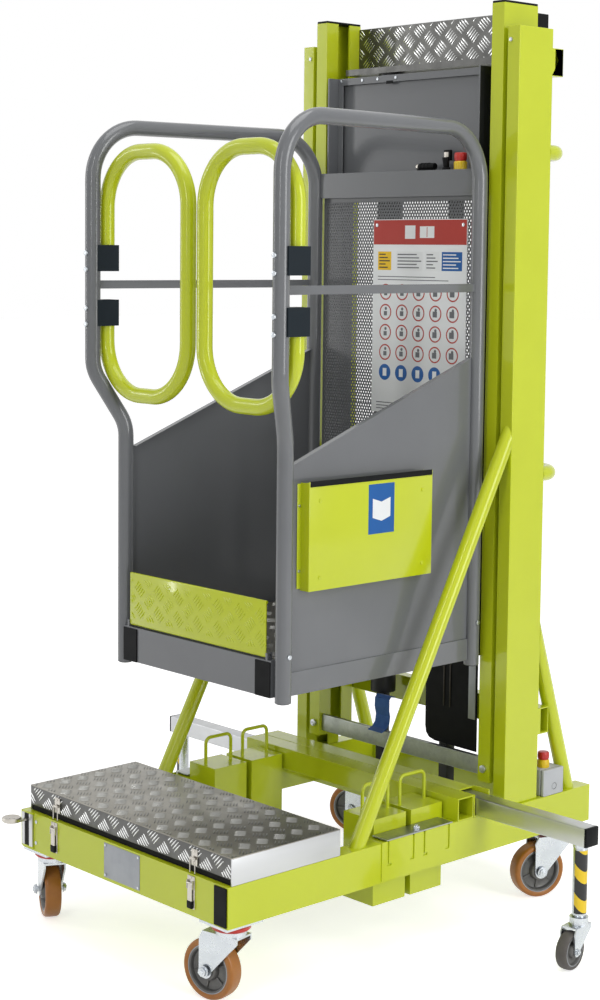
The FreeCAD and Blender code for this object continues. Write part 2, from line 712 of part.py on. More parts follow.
# Two push handles, each one tube bent twice behind the mast.
def push_handles():
    tubes = []
    for height in (S.handle_low, S.handle_high):
        rear = back(column_rear + S.handle_reach)
        face = back(column_rear)
        corners = [spot(S.brace_out, face, height), spot(S.brace_out, rear, height),
                   spot(-S.brace_out, rear, height), spot(-S.brace_out, face, height)]
        path = rounded_path(corners, [S.handle_bend.value] * 2)
        tubes.append(swept(path, S.handle_radius.value))
    return shaped(Part.makeCompound(tubes), "handles")


keep(push_handles(), "push_handles")

housing_base = rail_top
bar_base = housing_base + S.housing_wall + S.seat_gap


# Two square tubes side by side across the base carry the outrigger bars.
def outrigger_housings():
    tubes = []
    for index in (0, 1):
        front = S.housing_front + S.housing_step * index
        z = (housing_base, housing_base + S.housing_size)
        tubes.append(box_tube((-S.base_half, S.base_half), (back(front), back(front + S.housing_size)),
                              z, S.housing_wall, "x"))
    bridge = block((-rail_inner, rail_inner),
                   (back(S.housing_front + S.housing_size), back(S.housing_front + S.housing_step)),
                   (housing_base, housing_base + S.housing_wall))
    rear = S.housing_front + S.housing_step
    top = housing_base + S.housing_size
    window = block((S.base_half - S.cut_length, S.base_half),
                   (back(rear + S.housing_wall), back(rear + S.housing_size - S.housing_wall)),
                   (top - S.housing_wall, top))
    rib = block((S.base_half - S.cut_length, S.base_half),
                (back(rear + S.housing_size - S.housing_wall), back(rear + S.housing_size)),
                (top, top + S.lip_rise))
    return cut(fuse(tubes + [bridge, rib]), [window])


keep(outrigger_housings(), "outrigger_housings")


ballast_outer = rail_inner - S.seat_gap


# Steel blocks hang inside the rails on each side, each with a wire handle.
def ballast_blocks():
    blocks = []
    for side in (-1, 1):
        for index in (0, 1):
            front = S.ballast_front + S.ballast_step * index
            x = span(side, ballast_outer - S.ballast_width, ballast_outer)
            body = block(x, (back(front), back(front + S.ballast_length)),
                         (S.ballast_bottom, S.ballast_top))
            blocks.append(fuse([body, wire_handle(side, front)]))
    return group(blocks)


def wire_handle(side, front):
    middle = back(front + S.ballast_length / 2)
    x = side * (ballast_outer - S.ballast_width / 2)
    top = S.ballast_top + S.wire_height
    root = S.ballast_top - S.wire_radius
    corners = [spot(x, middle - S.wire_span / 2, root), spot(x, middle - S.wire_span / 2, top),
               spot(x, middle + S.wire_span / 2, top), spot(x, middle + S.wire_span / 2, root)]
    return shaped(swept(rounded_path(corners, [S.wire_bend.value] * 2), S.wire_radius.value), "wire")


keep(ballast_blocks(), "ballast_blocks")


strap_base = rail_top + S.sheet


# Plates with J-shaped slots on the rails' outer faces; each slot is cut down and then along.
def ballast_brackets():
    parts = []
    for side in (-1, 1):
        x = span(side, S.base_half, S.base_half + S.sheet)
        plate = block(x, (back(S.hook_front), back(S.hook_front + S.hook_length)),
                      (S.rail_bottom + S.hook_inset, strap_base))
        low = rail_top - S.hook_drop
        slots = []
        for index in (0, 1):
            start = S.hook_front + S.hook_edge + index * S.hook_pair
            end = start + S.hook_hang
            slots.append(block(x, (back(start), back(start + S.hook_slot)), (low, strap_base)))
            slots.append(block(x, (back(start), back(start + S.hook_foot)), (low, low + S.hook_slot)))
            slots.append(block(x, (back(end), back(end + S.hook_slot)), (low, strap_base)))
            slots.append(block(x, (back(end + S.hook_slot - S.hook_foot), back(end + S.hook_slot)),
                               (low, low + S.hook_slot)))
        parts.append(cut(plate, slots))
    return group(parts)


# A flat bar over each pair of plates keeps the blocks from lifting out.
def ballast_straps():
    start = S.hook_front + S.strap_start
    return group([
        block(span(side, S.base_half + S.sheet - S.strap_width, S.base_half + S.sheet),
              (back(start), back(start + S.strap_length)), (strap_base, strap_base + S.sheet))
        for side in (-1, 1)
    ])


keep(ballast_brackets(), "ballast_brackets")
keep(ballast_straps(), "ballast_straps")

ram_x = S.ram_out
rod_foot = S.rail_bottom + S.beam_height


# The lift ram's rod and the cable guide stand on the cross beam under the mast.
keep(group([
    rod(S.rod_radius, S.rod_top - rod_foot, (-ram_x, back(S.ram_back), rod_foot)),
    block((ram_x - S.guide_side / 2, ram_x + S.guide_side / 2),
          (back(S.ram_back - S.guide_side / 2), back(S.ram_back + S.guide_side / 2)),
          (rod_foot, S.guide_top)),
]), "mast_posts")


# The emergency stop of the base: a small box on the right rail.
def switch_box():
    return block((S.base_half - S.stop_width, S.base_half),
                 (back(S.stop_front), back(S.stop_front + S.stop_length)),
                 (rail_top, rail_top + S.stop_height))


def stop_button(x, y, z):
    """A mushroom head on a collar, turned about a vertical axis."""
    collar, knob = S.knob_radius, S.knob_radius * 1.1
    outline = [(0, 0), (collar, 0), (collar, S.collar_height), (knob, S.collar_height),
               (knob, S.knob_height), (0, S.knob_height)]
    body = turned(outline, "stop_button")
    body.Placement = Placement(spot(x, y, z), Rotation(Vector(0, 1, 0), -90))
    return body


keep(group([switch_box(), stop_button(S.base_half - S.stop_inset, back(S.stop_back),
                                      rail_top + S.stop_height)]), "base_stop")


# A slotted bracket with a round foot pedal closes the front end of the left rail.
def foot_pedal():
    left = -S.base_half + S.pedal_inset
    right = -rail_inner - S.pedal_inset
    y = (back(-S.pedal_sheet), back(0))
    middle = -S.base_half + S.rail_width / 2
    under = rail_top - S.pedal_drop
    flanges = [block(x, y, (S.rail_bottom + S.pedal_inset, rail_top))
               for x in ((left, left + S.pedal_flange), (right - S.pedal_flange, right))]
    bridge = block((left, right), y, (rail_top - 2 * S.pedal_drop, under))
    arm = block((middle - S.pedal_sheet, middle + S.pedal_sheet), (back(-S.pedal_reach), back(0)),
                (under - S.pedal_sheet, under))
    disc = rod(S.pedal_radius, S.pedal_thick, (middle, back(-S.pedal_reach), under))
    return fuse(flanges + [bridge, arm, disc])


keep(foot_pedal(), "foot_pedal")

LATCH_PLACES = (S.latch_left, S.latch_right)


# Over-centre latches: levers on the box.
def latch_levers():
    levers = []
    sheet = S.hinge_leaf
    for x in LATCH_PLACES:
        plate = block((x - S.latch_half, x + S.latch_half), (back(-sheet), back(0)),
                      (S.latch_base, S.latch_top))
        lever = block((x - S.latch_half + S.sheet, x + S.latch_half - S.sheet),
                      (back(-sheet - S.lever_thick), back(-sheet)), (S.latch_base, S.lever_top))
        levers.append(fuse([plate, lever]))
    return group(levers)


# Catches on the lid, with the wire loops that the levers pull.
def lid_hooks():
    hooks = []
    wire = S.loop_wire
    tip = S.lid_front - S.catch_reach
    for x in LATCH_PLACES:
        edges = (x - S.latch_half + S.hinge_leaf, x + S.latch_half - S.hinge_leaf)
        plate = block(edges, (back(S.lid_front - S.hinge_leaf), back(S.lid_front)),
                      (S.catch_base, S.catch_top))
        lip = block(edges, (back(tip), back(S.lid_front)), (S.catch_lip, S.catch_lip + S.sheet))
        arms = [block((edge, edge + wire), (back(tip), back(tip + wire)), (S.loop_base, S.catch_lip))
                for edge in (edges[0], edges[1] - wire)]
        hooks.append(fuse([plate, lip] + arms))
    return group(hooks)


keep(latch_levers(), "latch_levers")
keep(lid_hooks(), "lid_hooks")


def slide_shoe(near_face, column_inner, column_outer, foot):
    """A shoe that fills a slotted column with a little play, and the neck through its slot."""
    wall = S.column_wall + S.shoe_gap
    front = back(S.column_front)
    rear = back(column_rear)
    middle = back(S.column_front + S.column_depth / 2)
    z = (foot, foot + S.shoe_height)
    head = block((column_inner + wall, column_outer - wall), (front + wall, rear - wall), z)
    neck = block((near_face, column_inner + wall),
                 (middle - S.shoe_neck / 2, middle + S.shoe_neck / 2), z)
    return fuse([head, neck])



# The moving stage: two slotted columns joined by a head plate.
def inner_mast():
    right = c_column(inner_near, S.inner_outer, S.inner_bottom, S.inner_top)
    z = (head_bottom, head_top)
    rear = back(column_rear - S.column_wall)
    middle = back(S.column_front + S.column_depth / 2 + S.shoe_neck / 2 + S.back_gap)
    clear = S.pan_half - S.back_gap
    head = block((-inner_near, inner_near), (middle, rear), z)
    tongue = block((-clear, clear), (back(S.pan_face + S.pan_depth + S.back_gap), middle), z)
    return fuse([right, mirrored(right), head, tongue])


keep(inner_mast(), "inner_mast")

# The shoes on the moving columns run in the fixed ones.
inner_shoe = slide_shoe(S.inner_outer, column_near, S.column_outer, S.inner_bottom + S.shoe_foot)
keep(group([inner_shoe, mirrored(inner_shoe)]), "inner_shoes")


# Caps on the moving columns, and covers of the chain wheels behind their heads.
def column_caps():
    cap = block((inner_near, S.inner_outer), (back(S.column_front), back(column_rear)),
                (S.inner_top, S.inner_top + S.cap_thick))
    z = (back_beam_high + S.back_beam_height + S.shoe_foot, S.inner_top - S.cover_drop)
    cover = block((inner_near, S.inner_outer), (back(column_rear), back(column_rear + S.cover_depth)), z)
    return group([cap, mirrored(cap), cover, mirrored(cover)])


keep(column_caps(), "column_caps")
keep(block((-inner_near, inner_near), (back(column_rear - S.column_wall), back(column_rear) - 1),
           (tread_bottom, tread_top)), "mast_tread_panel")
tie_front = back(S.column_front + S.tie_inset)
keep(block((-inner_near, inner_near), (tie_front, tie_front + S.tie_depth),
           (S.tie_bottom, S.tie_bottom + S.tie_height)), "mast_foot_bar")


def ram_barrel():
    place_at = (-ram_x, back(S.ram_back), S.ram_foot)
    outer = rod(S.ram_radius, head_bottom - S.ram_foot, place_at)
    bore = rod(S.ram_bore, head_bottom - S.ram_foot - S.barrel_head, place_at)
    gland = rod(S.ram_radius, S.gland_height, place_at)
    gland_bore = rod(S.rod_radius + S.pin_play, S.gland_height, place_at)
    return fuse([cut(outer, [bore]), cut(gland, [gland_bore])])


keep(ram_barrel(), "ram_barrel")


# One side of the cage: a bent tube with a flat middle rail.
def hoop(side):
    low, high = S.hoop_out.value * side, S.hoop_flare.value * side
    rear = back(S.hoop_back)
    front = back(S.hoop_front)
    lean = back(S.hoop_lean)
    corners = [spot(low, rear, S.hoop_bottom), spot(low, rear, hoop_top),
               spot(high, lean, hoop_top), spot(high, lean, kink_high),
               spot(low, front, kink_low), spot(low, front, S.hoop_bottom)]
    bends = [S.hoop_bend.value, S.hoop_bend.value, S.kink_bend.value, S.kink_bend.value]
    return swept(rounded_path(corners, bends), S.tube_radius.value)


def knee_rail(side):
    start = spot(S.hoop_flare * side, back(S.hoop_lean), knee_height - S.knee_radius)
    end = spot(S.hoop_out * side, back(S.hoop_back), knee_height - S.knee_radius)
    way = (end - start).normalize()
    across = Vector(-way.y, way.x, 0) * 3
    corners = [start + across, end + across, end - across, start - across]
    face = Part.Face(Part.makePolygon(corners + [corners[0]]))
    return face.extrude(Vector(0, 0, 2 * S.knee_radius.value))


hoops = [hoop(side).fuse(knee_rail(side)).removeSplitter() for side in (-1, 1)]
keep(shaped(Part.makeCompound([whole.Solids[0] for whole in hoops]), "hoops"), "cage_hoops")

floor_top = S.deck_top - S.tread_sheet
deck_base = floor_top - S.deck_sheet
sill_base = S.deck_top - S.sill_height
panel_base = sill_base + S.panel_rise
skirt_base = sill_base + S.skirt_rise


# The cage floor: two side tubes, cross plates, the floor plate and the lugs of the toe flap.
def cage_floor():
    y = (back(S.deck_front), back(S.deck_back))
    parts = [block((-S.sill_outer, S.sill_outer), y, (deck_base, floor_top))]
    for side in (-1, 1):
        parts.append(box_tube(span(side, S.sill_outer - S.sill_width, S.sill_outer), y,
                              (sill_base, deck_base), S.sheet, "y"))
    inner = S.sill_outer - S.sill_width
    for start in (S.deck_front, S.deck_back - S.sheet):
        parts.append(block((-inner, inner), (back(start), back(start + S.sheet)),
                           (sill_base, deck_base)))
    for side in (-1, 1):
        x = span(side, S.flap_half + S.flap_play, S.flap_half + S.flap_play + S.lug_sheet)
        lug = block(x, (back(S.deck_front), back(S.deck_front + S.lug_depth)),
                    (floor_top, flap_axis_z + S.lug_rise))
        hole = rod(S.flap_pin + S.pin_play, S.lug_sheet, (x[0], back(flap_axis_y), flap_axis_z), "x")
        parts.append(cut(lug, [hole]))
    return fuse(parts)


flap_axis_y = S.deck_front + S.lug_depth / 2
flap_axis_z = S.flap_hinge - S.flap_drop
keep(cage_floor(), "cage_floor")
keep(block((-S.sill_outer + S.tread_edge, S.sill_outer - S.tread_edge),
           (back(S.deck_front + S.tread_front), back(S.tread_back)), (floor_top, S.deck_top)), "deck_tread")


def sill_caps():
    caps = []
    for side in (-1, 1):
        caps.append(block(span(side, S.sill_outer - S.sill_width, S.sill_outer),
                          (back(S.deck_front - S.cap_depth), back(S.deck_front)),
                          (sill_base, deck_base)))
    return group(caps)


keep(sill_caps(), "sill_caps")


# The toe flap lies on the deck when it is folded in.
def toe_flap():
    radius = S.flap_tube
    reach = S.flap_half + S.flap_play + S.lug_sheet
    tube = rod(radius, S.flap_half * 2, (-S.flap_half, back(flap_axis_y), flap_axis_z), "x")
    pin = rod(S.flap_pin, reach * 2, (-reach, back(flap_axis_y), flap_axis_z), "x")
    plate = block((-S.flap_half, S.flap_half),
                  (back(flap_axis_y - radius), back(flap_axis_y - radius + S.flap_sheet)),
                  (flap_axis_z, flap_axis_z + S.flap_height))
    return fuse([tube, pin, plate])


keep(toe_flap(), "toe_flap")


# A side panel: a sheet with a sloping, folded top edge, and the skirt below it.
def side_panel(side):
    front = back(S.hoop_front + S.tube_radius)
    rear = back(S.hoop_back - S.tube_radius)
    outline = [(front, panel_base), (rear, panel_base), (rear, S.panel_high),
               (front, S.panel_low)]
    fold = [(front, S.panel_low - S.panel_sheet), (rear, S.panel_high - S.panel_sheet),
            (rear, S.panel_high), (front, S.panel_low)]
    x = span(side, S.hoop_out - S.panel_sheet, S.hoop_out)
    fold_x = span(side, S.hoop_out - S.panel_fold, S.hoop_out)
    skirt_x = span(side, S.hoop_out - S.skirt_half, S.hoop_out + S.skirt_half)
    stays = [
        block(span(side, S.sill_outer, S.hoop_out - S.skirt_half),
              (back(S.deck_front + start), back(S.deck_front + start + S.stay_size)),
              (skirt_base, skirt_base + S.stay_size))
        for start in (S.stay_front, S.stay_rear)
    ]
    return fuse([
        prism("YZ_Plane", [outline], x[0], S.panel_sheet, "panel"),
        prism("YZ_Plane", [fold], fold_x[0], S.panel_fold, "fold"),
        block(skirt_x, (front, rear), (skirt_base, panel_base)),
    ] + stays)


keep(group([side_panel(-1), side_panel(1)]), "cage_panels")


# The pan on the mast side: a shallow tray with a flange all round.
def mast_pan():
    x = (-S.pan_half, S.pan_half)
    y = (back(S.pan_face), back(S.pan_face + S.pan_depth))
    z = (S.console_base, pan_top)
    tray = block(x, y, z)
    wall = S.panel_sheet
    hollow = block((x[0] + wall, x[1] - wall), (y[0] + wall, y[1] - wall), (z[0] + wall, z[1] - wall))
    mouth = block((x[0] + S.pan_fold, x[1] - S.pan_fold), (y[0], y[0] + wall),
                  (z[0] + S.pan_fold, z[1] - S.pan_fold))
    return cut(tray, [hollow, mouth])


keep(mast_pan(), "mast_pan")


# Two stiles behind the cage with the shoes that run in the moving columns.
def carriage():
    rear = back(S.column_front + S.column_depth / 2 + S.shoe_neck / 2)
    outside = S.pan_half + S.stile_width
    stile = block((S.pan_half, outside), (back(S.deck_back), rear), (sill_base, pan_top))
    shoe = slide_shoe(outside, inner_near, S.inner_outer, sill_base + S.carriage_foot)
    cross = block((-S.pan_half, S.pan_half), (back(S.deck_back), back(S.pan_face + S.pan_depth)),
                  (sill_base, sill_base + S.carriage_beam))
    return fuse([stile, mirrored(stile), shoe, mirrored(shoe), cross])


keep(carriage(), "carriage")

shelf_half = S.hoop_out - S.tube_radius


# The control shelf between the rear tubes of the cage.
def control_shelf():
    z = (S.console_base, S.console_top)
    face = block((-shelf_half, shelf_half), (back(S.hoop_back), back(S.hoop_back + S.panel_sheet)), z)
    wide = block((-shelf_half, shelf_half), (back(S.hoop_back), back(S.deck_back)),
                 (z[1] - S.panel_sheet, z[1]))
    narrow_half = S.pan_half - S.seat_gap
    narrow = block((-narrow_half, narrow_half), (back(S.hoop_back), back(S.pan_face)),
                   (z[1] - S.panel_sheet, z[1]))
    return fuse([face, wide, narrow])


keep(control_shelf(), "control_shelf")
keep(block((-shelf_half, shelf_half), (back(S.grille_back), back(S.grille_back + S.panel_sheet)),
           (floor_top, S.console_base)), "grille_panel")
keep(block((S.board_left, S.board_right), (back(S.grille_back - S.sheet), back(S.grille_back)),
           (S.board_base, S.board_top)), "sign_board")


def document_case():
    x = (S.hoop_out + S.seat_gap, S.hoop_out + S.seat_gap + S.case_depth)
    y = (back(S.case_front), back(S.case_front + S.case_length))
    z = (S.case_base, S.case_base + S.case_height)
    wall = S.panel_sheet
    room = block((x[0] + wall, x[1] - wall), (y[0] + wall, y[1] - wall), (z[0] + wall, z[1]))
    return cut(block(x, y, z), [room])


keep(document_case(), "document_case")


# The controls on the shelf: a stop button, a rocker, a lever and a socket.
def cage_controls():
    top = S.console_top
    rocker = block((S.rocker_left, S.rocker_left + S.rocker_width),
                   (back(S.pan_face - S.rocker_width), back(S.pan_face)), (top, top + S.rocker_height))
    lever = rod(S.lever_radius, S.lever_height, (S.lever_out, back(S.lever_back), top))
    socket = block((S.socket_left, S.socket_left + S.socket_width),
                   (back(S.socket_front), back(S.socket_front + S.socket_depth)),
                   (top, top + S.socket_height))
    return group([stop_button(S.button_out, back(S.button_back), top), rocker, lever, socket])


keep(cage_controls(), "cage_controls")


# A gate is one bent tube; its two ends turn in the hinge blocks.
def gate(side):
    y = back(S.gate_back)
    hinge, free = S.gate_out * side, S.gate_in * side
    corners = [spot(hinge, y, block_high + S.block_height - S.gate_entry),
               spot(hinge, y, gate_top), spot(free, y, gate_top),
               spot(free, y, gate_base), spot(hinge, y, gate_base),
               spot(hinge, y, block_low + S.gate_entry)]
    return swept(rounded_path(corners, [S.gate_bend.value] * 4), S.tube_radius.value)


# The hinge blocks clamp round the front tube and leave the gate's tube free to turn.
def hinge_blocks():
    parts = []
    for side in (-1, 1):
        for foot in (block_low, block_high):
            reach = S.tube_radius + S.block_wall
            middle = side * S.gate_out
            body = block((middle - reach, middle + reach),
                         (back(S.hoop_lean), back(S.gate_back + reach)),
                         (foot, foot + S.block_height))
            socket = rod(S.tube_radius + S.seat_gap, S.block_height,
                         (middle, back(S.gate_back), foot))
            upright = rod(S.tube_radius, S.block_height,
                          (side * S.hoop_flare, back(S.hoop_lean), foot))
            parts.append(cut(body, [socket, upright]))
    return group(parts)


for side, word in ((-1, "left"), (1, "right")):
    keep(shaped(gate(side), "gate"), "gate_" + word)
keep(hinge_blocks(), "gate_hinge_blocks")


class Castor:
    """The sizes of one kind of castor; its trail runs along its own +X."""

    def __init__(self, radius, width, trail, race_top, race_radius, sheet, crown_gap, pin):
        self.radius = radius.value
        self.width = width.value
        self.trail = trail.value
        self.race_top = race_top.value
        self.race_radius = race_radius.value
        self.sheet = sheet.value
        self.crown = 2 * radius.value + crown_gap.value
        self.pin = pin.value
        self.eye = self.pin * S.eye_ratio.value
        self.rim = self.radius * S.rim_ratio.value

    def fork(self):
        """Two cheeks with round eyes, the crown that joins them, the swivel ring and the axle."""
        inside = self.width / 2 + S.fork_play.value
        outside = inside + self.sheet
        tail = self.trail + self.eye
        nose = -self.race_radius
        top = self.crown + self.sheet
        side = [(nose, top), (nose, self.crown - self.sheet * 2),
                (self.trail - self.eye, self.radius), (tail, self.radius),
                (tail, self.crown - self.sheet * 3), (tail - self.sheet * 2, top)]
        cheeks = []
        for start in (-outside, inside):
            points = [Vector(x, start, z) for x, z in side]
            plate = Part.Face(Part.makePolygon(points + [points[0]])).extrude(Vector(0, self.sheet, 0))
            eye = Part.makeCylinder(self.eye, self.sheet, Vector(self.trail, start, self.radius),
                                    Vector(0, 1, 0))
            cheeks.append(plate.fuse(eye))
        crown = Part.makeBox(tail - self.sheet * 2 - nose, 2 * outside, self.sheet,
                             Vector(nose, -outside, self.crown))
        race = Part.makeCylinder(self.race_radius, self.race_top - top, Vector(0, 0, top))
        reach = outside + self.sheet
        axle = Part.makeCylinder(self.pin, 2 * reach, Vector(self.trail, -reach, self.radius),
                                 Vector(0, 1, 0))
        return crown.multiFuse(cheeks + [race, axle]).removeSplitter()

    def hub(self):
        """A flat web between a boss that is wider than the wheel and the tyre's seat."""
        half = self.width / 2
        bore = self.pin + S.pin_play.value
        boss = self.pin * S.boss_ratio.value
        web = half * S.web_ratio.value
        reach = half + S.boss_reach.value
        return [(bore, -reach), (boss, -reach), (boss, -web), (self.rim, -web),
                (self.rim, web), (boss, web), (boss, reach), (bore, reach)]

    def tyre(self):
        """A tread between two slanted flanks."""
        half = self.width / 2
        tread = half - S.flank.value
        return [(self.rim, -half), (self.radius, -tread), (self.radius, tread), (self.rim, half)]


base_castor = Castor(S.wheel_radius, S.wheel_width, S.wheel_trail,
                     S.rail_bottom - S.plate_thick - S.seat_gap, S.race_radius,
                     S.fork_sheet, S.crown_gap, S.pin_radius)
small_castor = Castor(S.small_radius, S.small_width, S.small_trail,
                      S.leg_bottom - S.seat_gap, S.small_race, S.small_sheet, S.small_gap, S.small_pin)


def castor(kind, prefix, x, y, angle):
    """Fork, hub and tyre of a castor; the angle is the way from its swivel to its wheel."""
    swivel = Vector(number(x), number(y), 0)
    fork = shaped(kind.fork(), "fork")
    fork.Placement = Placement(swivel, Rotation(Vector(0, 0, 1), angle))
    keep(fork, prefix + "_fork")
    way = Vector(math.cos(math.radians(angle)), math.sin(math.radians(angle)), 0)
    centre = swivel + way * kind.trail + Vector(0, 0, kind.radius)
    for outline, word in ((kind.hub(), "_hub"), (kind.tyre(), "_tyre")):
        wheel = turned(outline, "wheel")
        wheel.Placement = Placement(centre, Rotation(Vector(0, 0, 1), angle + 90))
        keep(wheel, prefix + word)


# The base castors: side, place, and the way each wheel points as the machine stands.
BASE_CASTORS = [
    ("castor_fl", -1, S.castor_front, 153.0),
    ("castor_fr", 1, S.castor_front, 191.0),
    ("castor_rl", -1, S.castor_rear, 205.0),
    ("castor_rr", 1, S.castor_rear, 248.0),
]


def castor_plates():
    plates = []
    for prefix, side, place_back, angle in BASE_CASTORS:
        x = side * castor_out
        plates.append(block((x - S.plate_x / 2, x + S.plate_x / 2),
                            (back(place_back) - S.plate_y / 2, back(place_back) + S.plate_y / 2),
                            (S.rail_bottom - S.plate_thick, S.rail_bottom)))
    return group(plates)


keep(castor_plates(), "castor_plates")
for prefix, side, place_back, angle in BASE_CASTORS:
    castor(base_castor, prefix, side * castor_out, back(place_back), angle)

# The outriggers: name, side, which housing holds the bar, and the way its wheel points.
OUTRIGGERS = [
    ("outrigger_left", -1, 0, -60.0),
    ("outrigger_right", 1, 1, -82.0),
]

leg_out = S.bar_reach - S.leg_inset


def outrigger_bar(side, middle):
    z = (bar_base, bar_base + S.bar_size)
    y = (middle - S.bar_size / 2, middle + S.bar_size / 2)
    tube = box_tube(span(side, S.bar_reach - S.bar_length, S.bar_reach), y, z, S.bar_wall, "x")
    plug = block(span(side, S.bar_reach - S.bar_wall, S.bar_reach + S.cap_depth), y, z)
    leg = rod(S.leg_radius, z[0] - S.leg_bottom, (side * leg_out, middle, S.leg_bottom))
    return fuse([tube, plug, leg])


for prefix, side, index, angle in OUTRIGGERS:
    middle = back(S.housing_front + S.housing_step * index + S.housing_size / 2)
    keep(outrigger_bar(side, middle), prefix + "_bar")
    castor(small_castor, prefix, side * leg_out, middle, angle)

doc.recompute()
faults = [thing.Name for thing in doc.Objects if "Invalid" in thing.State or "Error" in thing.State]
assert not faults, faults
for thing in nodes:
    assert not thing.Shape.isNull() and thing.Shape.isValid(), thing.Label
    assert thing.Shape.Solids, thing.Label

os.makedirs("parts", exist_ok=True)
for thing in nodes:
    thing.Shape.exportStep("parts/" + thing.Label + ".step")
whole = FreeCAD.BoundBox()
for thing in nodes:
    whole.add(thing.Shape.BoundBox)
print(len(nodes), "pieces", whole)
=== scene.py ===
"""The looks of a push-around vertical mast lift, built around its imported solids.

Every size here is in millimetres and in the part's own frame; a finished piece is scaled to metres.
"""

import json
import math

import bmesh
import bpy
from mathutils import Matrix, Vector

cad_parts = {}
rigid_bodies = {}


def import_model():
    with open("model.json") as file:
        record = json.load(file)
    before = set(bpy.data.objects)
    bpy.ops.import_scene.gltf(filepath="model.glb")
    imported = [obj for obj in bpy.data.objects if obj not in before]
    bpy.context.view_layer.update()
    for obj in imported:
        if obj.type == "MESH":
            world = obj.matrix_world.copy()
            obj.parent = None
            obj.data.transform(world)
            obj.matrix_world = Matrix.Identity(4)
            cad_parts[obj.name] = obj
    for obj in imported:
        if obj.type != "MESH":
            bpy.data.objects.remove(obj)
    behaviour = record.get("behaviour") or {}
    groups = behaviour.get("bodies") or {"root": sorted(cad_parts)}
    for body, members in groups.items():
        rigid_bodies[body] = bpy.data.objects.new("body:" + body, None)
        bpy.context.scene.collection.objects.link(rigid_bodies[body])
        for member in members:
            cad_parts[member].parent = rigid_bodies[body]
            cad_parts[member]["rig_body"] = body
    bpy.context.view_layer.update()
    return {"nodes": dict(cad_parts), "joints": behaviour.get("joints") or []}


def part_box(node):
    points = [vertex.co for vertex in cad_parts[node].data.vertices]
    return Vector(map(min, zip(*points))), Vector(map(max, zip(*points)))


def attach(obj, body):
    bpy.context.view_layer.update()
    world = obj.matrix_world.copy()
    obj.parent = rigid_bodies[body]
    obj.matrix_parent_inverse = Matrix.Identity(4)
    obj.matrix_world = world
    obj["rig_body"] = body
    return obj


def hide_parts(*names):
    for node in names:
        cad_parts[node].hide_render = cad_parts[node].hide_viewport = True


bl_info = {
    "name": "Vertical mast lift",
    "version": (1, 0, 0),
    "blender": (4, 5, 0),
    "location": "View3D > Sidebar > Lift",
    "description": "Dresses the solids of a castored vertical mast lift with finishes and fine parts",
    "category": "Object",
}

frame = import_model()

MM = 0.001
UP = Vector((0, 0, 1))


def linear(hex_colour, alpha=1.0):
    """An sRGB hex colour as the linear values that the shaders take."""
    values = [int(hex_colour[i:i + 2], 16) / 255 for i in (1, 3, 5)]
    return tuple(v / 12.92 if v <= 0.04045 else ((v + 0.055) / 1.055) ** 2.4 for v in values) + (alpha,)


def add_node(tree, kind, settings=None, inputs=None):
    """Adds a shader node with its settings; an input is a value or the socket that feeds it."""
    node = tree.nodes.new(kind)
    for key, value in (settings or {}).items():
        setattr(node, key, value)
    for key, value in (inputs or {}).items():
        if isinstance(value, bpy.types.NodeSocket):
            tree.links.new(value, node.inputs[key])
        else:
            node.inputs[key].default_value = value
    return node


